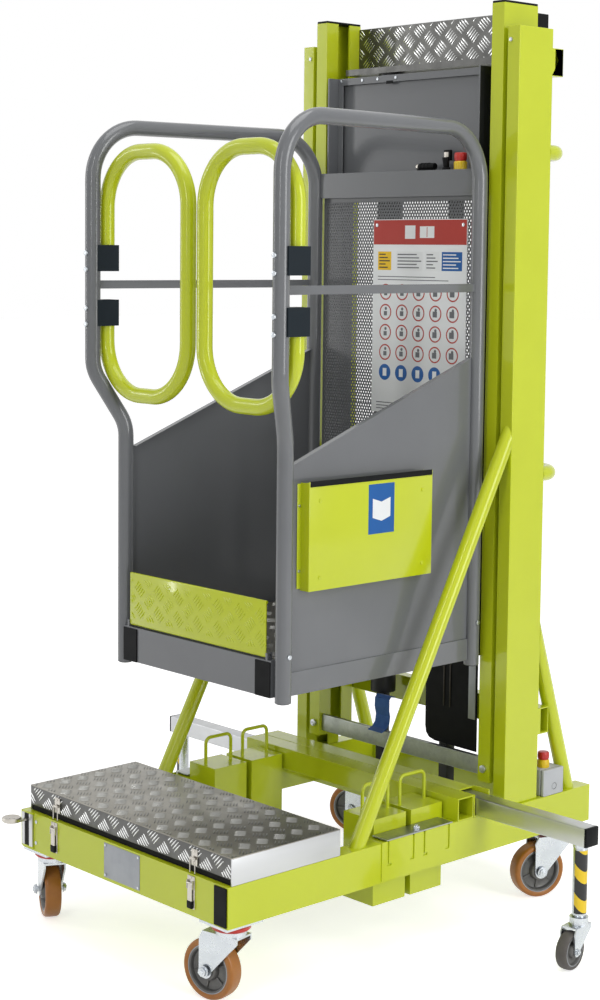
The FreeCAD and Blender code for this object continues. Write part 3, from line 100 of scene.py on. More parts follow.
# What each finish is made of: the record's slot, the base colour and its clouded tone in sRGB, the clouds'
# size, the roughness from low to high, the grain's size and the bump's height in millimetres, and other
# values of the shader. "stretch" draws the pattern out along an axis.
METAL = {"Metallic": 1.0}
VINYL = {"Specular IOR Level": 0.25}
FINISHES = {
    # Steel with a baked polyester powder coat: even and bright, with a faint orange peel.
    "lime_powder_coat": ("lime", "#C6D222", "#BBC61A", 160, (0.18, 0.26), 2.6, 0.02,
        {"Coat Weight": 0.45, "Specular IOR Level": 0.26, "Coat Roughness": 0.07}),
    # The same coat in a satin mid grey with a finer skin.
    "grey_powder_coat": ("grey", "#6E7073", "#66686B", 140, (0.18, 0.26), 1.8, 0.02,
        {"Coat Weight": 0.45, "Specular IOR Level": 0.3, "Coat Roughness": 0.07}),
    # Steel tube and plate in a satin black coat, on posts that sit in the mast's shade; also painted shade on
    # the carriage's stiles in the columns' recess.
    "black_coat_and_painted_shade": ("black_metal", "#121315", "#0D0E10", 120, (0.38, 0.52), 1.8, 0.04,
        {"Specular IOR Level": 0.3}),
    # Rolled aluminium tread plate that feet walk on: pale between the bars, streaked, and painted lighter
    # than the upright plate as painted light on the top.
    "lit_top_treadplate": ("aluminium", "#A9A69D", "#85827A", 42, (0.34, 0.5), 1.2, 0.05,
        {**METAL, "stretch": (0.4, 1.0, 1.0)}),
    # The bars there, in painted light for the top: a little darker than the plate between them.
    "top_bars_painted_light": ("aluminium", "#8F8F8B", "#787875", 30, (0.26, 0.4), 1.0, 0.03, METAL),
    # The same plate where it stands upright, painted darker as painted shade: deep grey between the bars.
    "shaded_upright_treadplate": ("aluminium", "#6C6C6A", "#545453", 34, (0.3, 0.46), 1.2, 0.04, METAL),
    # Bars of the upright plate, made bright by a painted highlight.
    "highlit_upright_bars": ("aluminium", "#E4E5E4", "#C8C9C8", 30, (0.14, 0.26), 1.0, 0.02, METAL),
    # Smooth mill-finish aluminium with fine drawing lines.
    "mill_aluminium": ("aluminium", "#C4C5C6", "#B4B6B7", 60, (0.3, 0.42), 0.9, 0.03,
        {**METAL, "stretch": (1.0, 0.04, 1.0)}),
    # Stainless pressings of the latches, brushed and lightly tarnished.
    "brushed_stainless": ("zinc", "#C9C5BE", "#A8A39A", 16, (0.22, 0.36), 0.8, 0.03,
        {**METAL, "stretch": (1.0, 1.0, 0.05)}),
    # Anodised plate, a flat satin grey.
    "anodised_plate": ("aluminium", "#96999D", "#8A8D91", 26, (0.36, 0.48), 0.8, 0.02, {"Metallic": 0.7}),
    # Cast iron wheel centres under a dark grey lacquer, with the mould's grit showing through.
    "lacquered_cast_iron": ("hub", "#6E6D6B", "#4C4C4B", 18, (0.38, 0.54), 1.6, 0.16, {"Metallic": 0.35}),
    # Cast polyurethane: an amber-brown tyre, slightly cloudy, scuffed dull on its tread.
    "amber_polyurethane": ("tread", "#AE6D1C", "#8E5615", 26, (0.34, 0.52), 1.4, 0.06,
        {"Coat Weight": 0.1, "Subsurface Weight": 0.08, "Coat Roughness": 0.07, "Subsurface Scale": 0.002}),
    # Moulded grey-brown thermoplastic rubber of the outrigger wheels.
    "grey_rubber": ("grey_tread", "#57534F", "#4A4643", 20, (0.55, 0.72), 1.2, 0.08),
    # Extruded black rubber and cellular seal.
    "black_rubber": ("rubber", "#151516", "#0F0F10", 24, (0.62, 0.8), 1.4, 0.14,
        {"Specular IOR Level": 0.14}),
    # Moulded polyethylene plugs and knobs with a fine spark-eroded grain; also painted shade in the brake
    # pedal's slot and in a recess of the pan.
    "black_polyethylene_and_painted_shade": ("black_plastic", "#131415", "#0E0F10", 30, (0.4, 0.55), 0.7, 0.07,
        {"Specular IOR Level": 0.1}),
    # Glass-filled nylon of the hinge blocks, a blue-black with a machined sheen.
    "slate_nylon": ("dark_block", "#111E26", "#0D171E", 34, (0.34, 0.48), 0.9, 0.05,
        {"Specular IOR Level": 0.18}),
    # Light grey polycarbonate of the switch box.
    "grey_polycarbonate": ("board", "#B9BCBF", "#AEB1B4", 40, (0.34, 0.48), 0.8, 0.05),
    # Glossy moulded caps and collars of the stop buttons, and the castors' seal rings.
    "red_polyamide": ("red", "#C42A22", "#B3231C", 20, (0.26, 0.36), 0.9, 0.02),
    "yellow_polyamide": ("red", "#E9C81B", "#DDBB12", 20, (0.28, 0.38), 0.9, 0.02),
    # Woven polyester webbing, blue, with its ribs across.
    "blue_webbing": ("rubber", "#1C5FB0", "#174F96", 12, (0.62, 0.78), 1.6, 0.3,
        {"Sheen Weight": 0.3, "stretch": (1.0, 0.25, 1.0)}),
    # Thin steel trims on the apron, dark under a film of oil.
    "oiled_steel": ("black_metal", "#3E3A35", "#2A2825", 10, (0.28, 0.44), 0.8, 0.04, {"Metallic": 0.9}),
}
# Printed vinyl films on the notice board and the document box.
for word, base, tone, cloud in (
        ("white", "#ECEEEF", "#E2E4E6", 70),
        ("red", "#B23A30", "#A8342B", 50),
        ("blue", "#1E5FA6", "#1A5698", 50),
        ("yellow", "#F0C419", "#E6BA12", 50),
        ("grey", "#6C6E72", "#626468", 50),
        ("black", "#1C1C1E", "#161618", 50)):
    FINISHES[word + "_vinyl"] = ("board", base, tone, cloud, (0.30, 0.42), 0.8, 0.02, VINYL)

# The finishes whose colour the user can change, with the setting that holds it.
CHOSEN_COLOURS = {"lime_powder_coat": "machine_colour", "grey_powder_coat": "cage_colour",
                  "amber_polyurethane": "tyre_colour"}

# Coats of zinc: light and dark of the crystals, their size in millimetres and their roughness.
ZINC = {
    # Electroplated zinc on pressed forks, nuts and bolts: bluish, bright and softly blurred.
    "bright_zinc": ("#CED2D6", "#B3B8BD", 2, (0.22, 0.34)),
    # Hot-dip galvanised tube and bar: large pale crystals with a duller sheen.
    "galvanised_steel": ("#B9BCB9", "#8B908D", 7, (0.30, 0.46)),
}


def open_material(name):
    """A bare material, its node tree and the socket that gives a point's place in metres."""
    material = bpy.data.materials.new(name)
    material.use_nodes = True
    tree = material.node_tree
    tree.nodes.clear()
    return material, tree, add_node(tree, "ShaderNodeTexCoord").outputs["Object"]


def close_material(material, tree, inputs):
    shader = add_node(tree, "ShaderNodeBsdfPrincipled", inputs=inputs)
    add_node(tree, "ShaderNodeOutputMaterial", inputs={"Surface": shader.outputs["BSDF"]})
    return material


def noise(tree, place, size, **more):
    """Clouds or grain of a size in millimetres."""
    return add_node(tree, "ShaderNodeTexNoise", inputs={
        "Vector": place, "Scale": 1000 / size, **more}).outputs["Fac"]


def maths(tree, operation, *values):
    node = add_node(tree, "ShaderNodeMath", {"operation": operation}, dict(enumerate(values)))
    return node.outputs["Value"]


def ranged(tree, value, ends, span=(0.0, 1.0)):
    """A value that runs over a span, taken to new ends."""
    return add_node(tree, "ShaderNodeMapRange", inputs={
        "Value": value, "From Min": span[0], "From Max": span[1],
        "To Min": ends[0], "To Max": ends[1]}).outputs["Result"]


def mixed(tree, share, one, two):
    node = add_node(tree, "ShaderNodeMix", {"data_type": "RGBA"}, {"Factor": share, 6: one, 7: two})
    return node.outputs[2]


def bumped(tree, grain, strength, height):
    return add_node(tree, "ShaderNodeBump", inputs={
        "Height": grain, "Strength": strength, "Distance": height * MM}).outputs["Normal"]


def painted_finish(name):
    """A finish from the table: clouded colour, uneven gloss and a fine bump."""
    _, base, tone, cloud_size, rough, grain_size, height, *more = FINISHES[name]
    base, tone, values = linear(base), linear(tone), dict(*more)
    if name in CHOSEN_COLOURS:
        shade = [t / b for t, b in zip(tone, base)]
        base = (*getattr(bpy.context.scene.lift, CHOSEN_COLOURS[name]), 1.0)
        tone = [b * s for b, s in zip(base, shade)]
    material, tree, place = open_material(name)
    stretched = add_node(tree, "ShaderNodeMapping", inputs={
        "Vector": place, "Scale": values.pop("stretch", (1.0, 1.0, 1.0))}).outputs["Vector"]
    cloud = noise(tree, stretched, cloud_size, Detail=4.0, Roughness=0.6)
    return close_material(material, tree, {
        "Base Color": mixed(tree, cloud, base, tone), "Roughness": ranged(tree, cloud, rough, (0.3, 0.7)),
        "Normal": bumped(tree, noise(tree, stretched, grain_size, Detail=2.0), 0.6, height), **values})


def zinc_finish(name, light, dark, crystal, rough):
    """Zinc with its crystals, which differ in shade and gloss from one to the next."""
    material, tree, place = open_material(name)
    cells = add_node(tree, "ShaderNodeTexVoronoi", inputs={"Vector": place, "Scale": 1000 / crystal})
    red = add_node(tree, "ShaderNodeSeparateColor", inputs={"Color": cells.outputs["Color"]}).outputs["Red"]
    shade = maths(tree, "MULTIPLY_ADD", red, 0.22, noise(tree, place, 45, Detail=4.0))
    return close_material(material, tree, {
        "Base Color": mixed(tree, shade, linear(light), linear(dark)), "Metallic": 1.0,
        "Roughness": ranged(tree, shade, rough, (0.3, 0.9)),
        "Normal": bumped(tree, noise(tree, place, 1.2), 0.5, 0.03)})


def hazard_tape(name):
    """Vinyl tape with black and yellow bands that climb at 45 degrees; a pair of bands is 62 mm high."""
    material, tree, place = open_material(name)
    parts = add_node(tree, "ShaderNodeSeparateXYZ", inputs={"Vector": place})
    climb = maths(tree, "ADD", parts.outputs["X"], parts.outputs["Z"])
    dark = maths(tree, "GREATER_THAN", maths(tree, "FRACT", maths(tree, "MULTIPLY", climb, 1000 / 62)), 0.42)
    return close_material(material, tree, {
        "Base Color": mixed(tree, dark, linear("#EBC81E"), linear("#161617")),
        "Roughness": ranged(tree, noise(tree, place, 2), (0.30, 0.46))})


def finish(name):
    """The material of a finish, made the first time it is asked for."""
    known = bpy.data.materials.get(name)
    if known:
        return known
    if name in ZINC:
        return zinc_finish(name, *ZINC[name])
    return hazard_tape(name) if name == "hazard_tape" else painted_finish(name)


# ---- pieces in millimetres ---------------------------------------------------------------

# Directions out of the machine, for bolts and plates.
FRONT, TOP, RIGHT = (0, -1, 0), (0, 0, 1), (1, 0, 0)


def mesh_of(bm, name):
    mesh = bpy.data.meshes.new(name)
    bm.to_mesh(mesh)
    bm.free()
    return mesh


def link(name, data):
    """A new object in the scene."""
    thing = bpy.data.objects.new(name, data)
    bpy.context.scene.collection.objects.link(thing)
    return thing


def turn_to(direction):
    """The rotation that takes +Z to a direction."""
    return UP.rotation_difference(Vector(direction)).to_matrix().to_4x4()


def paint(verts, material):
    """Gives the faces around these vertices a material's index."""
    for face in {f for v in verts for f in v.link_faces}:
        face.material_index = material
    return verts


def edges_of(verts):
    return list({e for v in verts for e in v.link_edges})


def round_off(bm, edges, width, steps):
    return bmesh.ops.bevel(bm, geom=edges, offset=width, segments=steps, affect="EDGES", profile=0.5,
                           material=-1)["verts"]


def add_box(bm, x, y, z, material=0, edge=0.0, steps=2):
    """A box from three pairs of limits, with rounded edges."""
    middle = Vector(((x[0] + x[1]) / 2, (y[0] + y[1]) / 2, (z[0] + z[1]) / 2))
    size = Matrix.Diagonal((x[1] - x[0], y[1] - y[0], z[1] - z[0], 1))
    verts = bmesh.ops.create_cube(bm, size=1, matrix=Matrix.Translation(middle) @ size)["verts"]
    if edge:
        verts = round_off(bm, edges_of(verts), edge, steps)
    return paint(verts, material)


def add_boxes(bm, *boxes):
    for box in boxes:
        add_box(bm, *box)


def add_rod(bm, start, end, radius, material=0, steps=24, end_radius=None, edge=0.0):
    """A round bar or cone between two points, with rounded rims."""
    start, end = Vector(start), Vector(end)
    way = end - start
    matrix = Matrix.Translation((start + end) / 2) @ turn_to(way)
    verts = bmesh.ops.create_cone(bm, cap_ends=True, segments=steps, radius1=radius,
                                  radius2=radius if end_radius is None else end_radius,
                                  depth=way.length, matrix=matrix)["verts"]
    if edge:
        rims = [e for e in edges_of(verts) if any(len(f.verts) > 4 for f in e.link_faces)]
        verts = round_off(bm, rims, edge, 2)
    return paint(verts, material)


def take(bm, part, material):
    """Adds a part, a bmesh of its own, to the piece in one finish."""
    paint(part.verts, material)
    mesh = mesh_of(part, "part")
    bm.from_mesh(mesh)
    bpy.data.meshes.remove(mesh)


def cut_off(bm, place, out):
    """Cuts away what lies beyond a plane, which is left open."""
    bmesh.ops.bisect_plane(bm, geom=bm.verts[:] + bm.edges[:] + bm.faces[:], plane_co=place, plane_no=out,
                           clear_outer=True)


def close_holes(bm):
    bmesh.ops.holes_fill(bm, edges=[e for e in bm.edges if e.is_boundary])


def add_turned(bm, outline, centre, axis, material=0, steps=48):
    """A closed outline of (radius, height) points turned about an axis through a centre."""
    ring = bmesh.new()
    verts = [ring.verts.new((r, 0, h)) for r, h in outline]
    edges = [ring.edges.new(pair) for pair in zip(verts, verts[1:] + verts[:1])]
    bmesh.ops.spin(ring, geom=verts + edges, cent=(0, 0, 0), axis=(0, 0, 1), dvec=(0, 0, 0),
                   angle=2 * math.pi, steps=steps, use_merge=True, use_duplicate=False)
    bmesh.ops.remove_doubles(ring, verts=ring.verts, dist=0.001)
    bmesh.ops.recalc_face_normals(ring, faces=ring.faces)
    bmesh.ops.transform(ring, matrix=Matrix.Translation(Vector(centre)) @ turn_to(axis), verts=ring.verts)
    take(bm, ring, material)


def add_ring(bm, inner, outer, height, centre, axis, material=0, steps=48, foot=0):
    outline = [(inner, foot), (outer, foot), (outer, height), (inner, height)]
    add_turned(bm, outline, centre, axis, material, steps)


def add_plate(bm, corners, direction, thickness, material=0, edge=0.0):
    """A flat outline made solid along a direction."""
    face = bm.faces.new([bm.verts.new(c) for c in corners])
    made = bmesh.ops.extrude_face_region(bm, geom=[face])["geom"]
    moved = [g for g in made if isinstance(g, bmesh.types.BMVert)]
    bmesh.ops.translate(bm, verts=moved, vec=Vector(direction).normalized() * thickness)
    verts = list({v for m in moved for f in m.link_faces for v in f.verts})
    bmesh.ops.recalc_face_normals(bm, faces=list({f for v in verts for f in v.link_faces}))
    if edge:
        verts = round_off(bm, edges_of(verts), edge, 1)
    return paint(verts, material)


def add_tube(bm, points, radius, material=0, bend=0.0, sides=12, bend_steps=6):
    """A bent wire or pipe: straight runs with rounded corners, drawn as a bevelled curve."""
    path = [Vector(points[0])]
    for before, corner, after in zip(points, points[1:], points[2:]):
        corner = Vector(corner)
        one, two = (Vector(before) - corner).normalized(), (Vector(after) - corner).normalized()
        half = one.angle(two) / 2
        reach = bend / math.tan(half)
        centre = corner + (one + two).normalized() * (bend / math.sin(half))
        start, end = corner + one * reach - centre, corner + two * reach - centre
        axis, angle = start.cross(end).normalized(), start.angle(end)
        for i in range(bend_steps + 1):
            path.append(centre + Matrix.Rotation(angle * i / bend_steps, 3, axis) @ start)
    path.append(Vector(points[-1]))
    curve = bpy.data.curves.new("path", "CURVE")
    curve.dimensions = "3D"
    curve.bevel_depth = radius
    curve.bevel_resolution = max(1, sides // 4 - 1)
    curve.use_fill_caps = True
    spline = curve.splines.new("POLY")
    spline.points.add(len(path) - 1)
    for point, place in zip(spline.points, path):
        point.co = (*place, 1)
    thing = bpy.data.objects.new("path", curve)
    pipe = bmesh.new()
    mesh = bpy.data.meshes.new_from_object(thing)
    pipe.from_mesh(mesh)
    bmesh.ops.remove_doubles(pipe, verts=pipe.verts, dist=0.01)
    bpy.data.meshes.remove(mesh)
    bpy.data.objects.remove(thing)
    bpy.data.curves.remove(curve)
    take(bm, pipe, material)


def add_bolt(bm, head, direction, across, height, material=0, washer=0.0, socket=False):
    """A hexagon or cap screw head on a washer; the direction points out of the surface."""
    head, out = Vector(head), Vector(direction).normalized()
    if washer:
        add_rod(bm, head, head + out * 1.6, washer, material, 24, edge=0.4)
        head = head + out * 1.6
    radius = across / 2 if socket else across / math.sqrt(3)
    add_rod(bm, head, head + out * height, radius, material, 20 if socket else 6, edge=height * 0.14)
    tip = head + out * height
    if socket:
        add_rod(bm, tip - out * 0.2, tip + out * 0.05, radius * 0.52, material, 6)
    else:
        add_rod(bm, tip, tip + out * height * 0.35, radius * 0.5, material, 14, edge=height * 0.1)


def add_screw(bm, head, direction, across, height, material=0):
    add_bolt(bm, head, direction, across, height, material, socket=True)


def make_piece(bm, name, body, finishes, stands_for=(), smooth=38.0):
    """A finished piece: scaled to metres, smoothed, given its finishes and put on its body."""
    bmesh.ops.scale(bm, verts=bm.verts, vec=(MM, MM, MM))
    mesh = mesh_of(bm, name)
    piece = link(name, mesh)
    for word in finishes:
        mesh.materials.append(finish(word))
    mesh.polygons.foreach_set("use_smooth", [True] * len(mesh.polygons))
    mesh.set_sharp_from_angle(angle=math.radians(smooth))
    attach(piece, body)
    if stands_for:
        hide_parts(*stands_for)
    return piece


def body_of(node):
    return frame["nodes"][node]["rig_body"]


def stand_in(bm, name, node, finishes, **more):
    """A piece that takes a solid's place on its body."""
    return make_piece(bm, name, body_of(node), finishes, [node], **more)


def limits(node):
    """The limits of a solid at rest in millimetres: (x, y, z) pairs."""
    low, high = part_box(node)
    return [(low[i] / MM, high[i] / MM) for i in range(3)]


def joint(name):
    """A joint's place in millimetres and its axis, as the record gives them."""
    row = next(j for j in frame["joints"] if j["name"] == name)
    return Vector(row["pos_m"]) / MM, Vector(row["axis"]).normalized()


def spread(node, centre, axis):
    """How far a solid reaches along an axis from a centre, in millimetres."""
    return max(abs((v.co / MM - centre).dot(axis)) for v in frame["nodes"][node].data.vertices)


def copy_of(node):
    """A solid's mesh in millimetres, with its loose triangles joined."""
    bm = bmesh.new()
    bm.from_mesh(frame["nodes"][node].data)
    bmesh.ops.scale(bm, verts=bm.verts, vec=(1 / MM,) * 3)
    bmesh.ops.remove_doubles(bm, verts=bm.verts, dist=0.02)
    return bm


def rounded_piece(bm, name, node, finish_name, width):
    """A piece that stands for a solid, flat where the solid is flat, with its edges rounded as paint does."""
    bmesh.ops.dissolve_limit(bm, angle_limit=math.radians(0.6), verts=bm.verts, edges=bm.edges,
                             use_dissolve_boundaries=False)
    piece = stand_in(bm, name, node, [finish_name])
    if width:
        edge = piece.modifiers.new("rounded edges", "BEVEL")
        edge.width = width * MM
        edge.segments = 2
        edge.limit_method = "ANGLE"
        edge.angle_limit = math.radians(40)
        edge.use_clamp_overlap = True
        edge.harden_normals = True
    return piece


def soften(node, finish_name, width):
    return rounded_piece(copy_of(node), "dressed_" + node, node, finish_name, width)


def second_finish(piece, finish_name, room):
    """Another finish on the faces whose middle lies in a room, given as (x, y, z) limits in millimetres."""
    piece.data.materials.append(finish(finish_name))
    for face in piece.data.polygons:
        if all(low <= place / MM <= high for place, (low, high) in zip(face.center, room)):
            face.material_index = len(piece.data.materials) - 1


# ---- solids whose shape is kept, with rounded edges where a bend or paint rounds them ----

SOFTENED = {
    "base_frame": ("lime_powder_coat", 1.6), "outer_mast": ("lime_powder_coat", 2.2),
    "inner_mast": ("lime_powder_coat", 2.2), "mast_braces": ("lime_powder_coat", 0.6),
    "push_handles": ("lime_powder_coat", 0.0), "outrigger_housings": ("lime_powder_coat", 1.2),
    "ballast_brackets": ("lime_powder_coat", 0.6), "ballast_straps": ("galvanised_steel", 0.7),
    "gate_left": ("lime_powder_coat", 0.0), "gate_right": ("lime_powder_coat", 0.0),
    "cage_hoops": ("grey_powder_coat", 0.6), "cage_floor": ("grey_powder_coat", 1.2),
    "cage_panels": ("grey_powder_coat", 0.6), "mast_pan": ("grey_powder_coat", 0.7),
    "carriage": ("grey_powder_coat", 1.0), "control_shelf": ("grey_powder_coat", 0.7),
    "rail_caps": ("black_polyethylene_and_painted_shade", 0.9), "sill_caps": ("black_polyethylene_and_painted_shade", 0.9),
    "column_caps": ("black_polyethylene_and_painted_shade", 1.2), "inner_shoes": ("black_polyethylene_and_painted_shade", 1.0),
    "battery_block": ("black_polyethylene_and_painted_shade", 4.0), "lid_seal": ("black_rubber", 1.6),
    "mast_foot_bar": ("galvanised_steel", 1.2),
    "castor_plates": ("bright_zinc", 1.0), "ram_barrel": ("black_coat_and_painted_shade", 0.8),
}


def dress_solids():
    for node, (word, width) in SOFTENED.items():
        piece = soften(node, word, width)
        if node == "carriage":
            # The stiles beside the pan lie in the columns' recess; they take the black coat there as painted
            # shade.
            for side in ((-300, -235), (235, 300)):
                second_finish(piece, "black_coat_and_painted_shade", (side, (0, 500), (0, 2000)))
        if node == "inner_mast":
            # The head plate's front tongue runs on from the tread plate above it, in the same painted shade.
            second_finish(piece, "shaded_upright_treadplate", ((-240, 240), (300, 399), (1880, 1915)))
    hinge_blocks()


def hinge_blocks():
    """The gates' hinge blocks, slimmer than their solids, with the bores kept."""
    whole = bmesh.new()
    x, y, _ = limits("gate_hinge_blocks")
    outside, width, rear = 3.5, 39.0, 4.5
    outer = x[1] - outside
    for side in (-1, 1):
        block = copy_of("gate_hinge_blocks")
        for place, out in (((side * (outer - width), 0, 0), (-side, 0, 0)),
                           ((side * outer, 0, 0), (side, 0, 0)), ((0, y[1] - rear, 0), (0, 1, 0))):
            cut_off(block, place, out)
            close_holes(block)
        take(whole, block, 0)
    rounded_piece(whole, "hinge_blocks", "gate_hinge_blocks", "slate_nylon", 1.2)


# ---- tread plate: raised bars in fives, each five at right angles to the next ------------

def tread_bars(bm, origin, across, along, room, settings, material, shift=(0.0, 0.0)):
    """Fills a flat room (width, height) from its corner with groups of bars, cut where the room ends."""
    across, along, origin, shift = Vector(across), Vector(along), Vector(origin), Vector(shift)
    out = across.cross(along).normalized()
    length, width, height = settings.bar_length / MM, settings.bar_width / MM, settings.bar_height / MM
    step_x, step_y = settings.group_across / MM / 2, settings.group_along / MM / 2
    gap, margin = settings.bar_gap / MM, 1.6
    for column in range(-1, int(room[0] / step_x) + 2):
        for row in range(-1, int(room[1] / step_y) + 2):
            if (column + row) % 2:
                continue
            lean = 1 if column % 2 else -1
            way, side = Vector((lean, 1)).normalized(), Vector((-1, lean)).normalized()
            for bar in range(-2, 3):
                spot = Vector((column * step_x, row * step_y)) + shift + side * bar * gap
                start, end = -length / 2, length / 2
                for i in (0, 1):
                    ends = sorted(((margin - spot[i]) / way[i], (room[i] - margin - spot[i]) / way[i]))
                    start, end = max(start, ends[0]), min(end, ends[1])
                if end - start < 9:
                    continue
                spot += way * (start + end) / 2
                turn = Matrix((across * way.x + along * way.y, across * side.x + along * side.y, out * lean))
                place = origin + across * spot.x + along * spot.y + out * (height / 2 - 0.1)
                shape = Matrix.Translation(place) @ turn.transposed().to_4x4() @ Matrix.Diagonal(
                    ((end - start) / 2, width / 2, lean, 1))
                paint(bmesh.ops.create_cone(bm, cap_ends=True, segments=6, radius1=1.0, radius2=0.66,
                                            depth=height, matrix=shape)["verts"], material)


def tread_lid(settings):
    """The step: a folded tread plate with smooth ends, an open underside and a shorter front."""
    x, y, z = limits("box_lid")
    y, foot = (y[0], y[1] - 2.0), z[0] + 0.3
    z = (z[1] - 50, z[1])
    sheet, reach = 3.0, 1.1
    # The top takes the aluminium's copies in painted light; the upright front and back take the copy in
    # painted shade, and their bars painted highlights.
    flat, painted_top_bars, upright, bright, smooth, zinc = range(6)
    bm = bmesh.new()
    top = z[1] - reach
    front = y[0] + reach
    add_boxes(bm, (x, (front, y[1]), (top - sheet, top), flat, 1.2),
              ((x[0] + sheet, x[1] - sheet), (front, front + sheet), (z[0] + 6, top - 0.6), upright, 0.8),
              ((x[0] + sheet, x[1] - sheet), (y[1] - sheet, y[1]), (z[0], top - 0.6), upright, 0.8))
    for near, far in ((x[0], x[0] + sheet), (x[1] - sheet, x[1])):
        add_box(bm, (near, far), (front, y[1]), (foot, top - 0.6), smooth, 0.8)
    width = x[1] - x[0]
    tread_bars(bm, (x[0], front, top), (1, 0, 0), (0, 1, 0), (width, y[1] - front), settings, painted_top_bars)
    tread_bars(bm, (x[0], front, z[0] + 6), (1, 0, 0), (0, 0, 1), (width, top - z[0] - 6.5), settings, bright,
               shift=(0, 9))
    pin, _ = joint("lid_hinge")
    for middle in (-190, 190):
        add_box(bm, (middle - 17, middle + 17), (y[1] - 0.2, y[1] + 2), (pin.z + 1, z[0] + 24), zinc, 0.5)
        add_rod(bm, (middle - 17, pin.y, pin.z), (middle + 17, pin.y, pin.z), 3.1, zinc, 20, edge=0.4)
        for dx in (-9, 9):
            add_screw(bm, (middle + dx, y[1] + 2, z[0] + 14), (0, 1, 0), 6, 1.8, zinc)
    stand_in(bm, "tread_lid", "box_lid", ["lit_top_treadplate", "top_bars_painted_light", "shaded_upright_treadplate",
                                          "highlit_upright_bars", "mill_aluminium", "bright_zinc"])


def tread_sheets(settings):
    """The flat tread plates on the deck and at the head of the mast."""
    # The deck takes the aluminium's copies in painted light; the mast's head takes the copy in painted shade,
    # with painted highlights on its bars.
    for node, name, along, words in (
            ("deck_tread", "deck_sheet", (0, 1, 0), ["lit_top_treadplate", "top_bars_painted_light"]),
            ("mast_tread_panel", "mast_head_sheet", (0, 0, 1), ["shaded_upright_treadplate", "highlit_upright_bars"])):
        x, y, z = limits(node)
        lying = along[1] > 0
        bm = bmesh.new()
        add_box(bm, x, y, z, 0, 0.5, 1)
        corner = (x[0], y[0], z[1] if lying else z[0])
        height = (y[1] - y[0]) if lying else (z[1] - z[0])
        tread_bars(bm, corner, (1, 0, 0), along, (x[1] - x[0], height), settings, 1)
        stand_in(bm, name, node, words)


def toe_board(settings):
    """The folding toe board at the entry: painted tread plate with a bead along its top and a pin."""
    x, y, z = limits("toe_flap")
    front = y[0]
    axis_z = z[0] + 5.5
    bm = bmesh.new()
    pin = (x[0], x[1])
    x = (x[0] + 7, x[1] - 7)
    add_box(bm, x, (front, front + 3), (axis_z, z[1] - 3), 0, 0.8)
    add_rod(bm, (x[0], front + 3.2, z[1] - 3.2), (x[1], front + 3.2, z[1] - 3.2), 3.2, 0, 18, edge=0.5)
    add_rod(bm, (x[0], front + 5.5, axis_z), (x[1], front + 5.5, axis_z), 5.5, 0, 24, edge=0.8)
    add_rod(bm, (pin[0], front + 5.5, axis_z), (pin[1], front + 5.5, axis_z), 3.0, 1, 16, edge=0.4)
    tread_bars(bm, (x[0], front, axis_z + 8), (1, 0, 0), (0, 0, 1),
               (x[1] - x[0], z[1] - axis_z - 16), settings, 0)
    stand_in(bm, "toe_board", "toe_flap", ["lime_powder_coat", "bright_zinc"])


# ---- perforated panel --------------------------------------------------------------------

def perforated_panel(settings):
    """Round-looking holes in staggered rows; a cell of two six-sided rings is repeated and trimmed."""
    x, y, z = limits("grille_panel")
    pitch, hole = settings.hole_pitch / MM, settings.hole_size / MM / 2
    rise = pitch * math.sqrt(3)
    cell = bmesh.new()
    for dx, dz in ((0, 0), (pitch / 2, rise / 2)):
        rings = []
        for radius in (hole, pitch / math.sqrt(3)):
            made = bmesh.ops.create_circle(cell, segments=6, radius=radius, matrix=Matrix.Translation(
                (dx, 0, dz)) @ Matrix.Rotation(math.pi / 2, 4, "X") @ Matrix.Rotation(math.pi / 6, 4, "Z"))
            rings += list({e for v in made["verts"] for e in v.link_edges})
        bmesh.ops.bridge_loops(cell, edges=rings)
    mesh = mesh_of(cell, "cell")
    middle = (z[0] + z[1]) / 2
    for word, low, high in (("lower", z[0], middle), ("upper", middle, z[1])):
        thing = link("cells", mesh)
        counts = (int((x[1] - x[0]) / pitch) + 2, int((high - low) / rise) + 2)
        for count, step in ((counts[0], (pitch, 0, 0)), (counts[1], (0, 0, rise))):
            rows = thing.modifiers.new("rows", "ARRAY")
            rows.count = count
            rows.use_relative_offset = False
            rows.use_constant_offset = True
            rows.constant_offset_displace = step
            rows.use_merge_vertices = True
            rows.merge_threshold = pitch * 0.02
        bpy.context.view_layer.update()
        whole = bpy.data.meshes.new_from_object(thing.evaluated_get(bpy.context.evaluated_depsgraph_get()))
        bm = bmesh.new()
        bm.from_mesh(whole)
        bpy.data.objects.remove(thing)
        bpy.data.meshes.remove(whole)
        bmesh.ops.translate(bm, verts=bm.verts, vec=(x[0] - pitch / 2, y[0], low - rise / 4))
        rim = 9.0
        ends = (low + (rim if word == "lower" else 0), high - (rim if word == "upper" else 0))
        for place, out in (((x[0] + rim, 0, 0), (-1, 0, 0)), ((x[1] - rim, 0, 0), RIGHT),
                           ((0, 0, ends[0]), (0, 0, -1)), ((0, 0, ends[1]), TOP)):
            cut_off(bm, place, out)
        bmesh.ops.recalc_face_normals(bm, faces=bm.faces)
        bmesh.ops.solidify(bm, geom=bm.faces[:], thickness=y[1] - y[0])
        add_boxes(bm, ((x[0], x[0] + rim), y, (low, high), 0, 0.4, 1),
                  ((x[1] - rim, x[1]), y, (low, high), 0, 0.4, 1))
        if word == "lower":
            add_box(bm, (x[0] + rim, x[1] - rim), y, (low, low + rim), 0)
        else:
            add_box(bm, (x[0] + rim, x[1] - rim), y, (high - rim, high), 0)
        stand_in(bm, "perforated_panel_" + word, "grille_panel", ["grey_powder_coat"], smooth=20)
    bpy.data.meshes.remove(mesh)


# ---- notice board and document box -------------------------------------------------------

def add_disc(bm, x, z, front, radius, material, lift=0.15):
    add_rod(bm, (x, front, z), (x, front - lift, z), radius, material, 28)


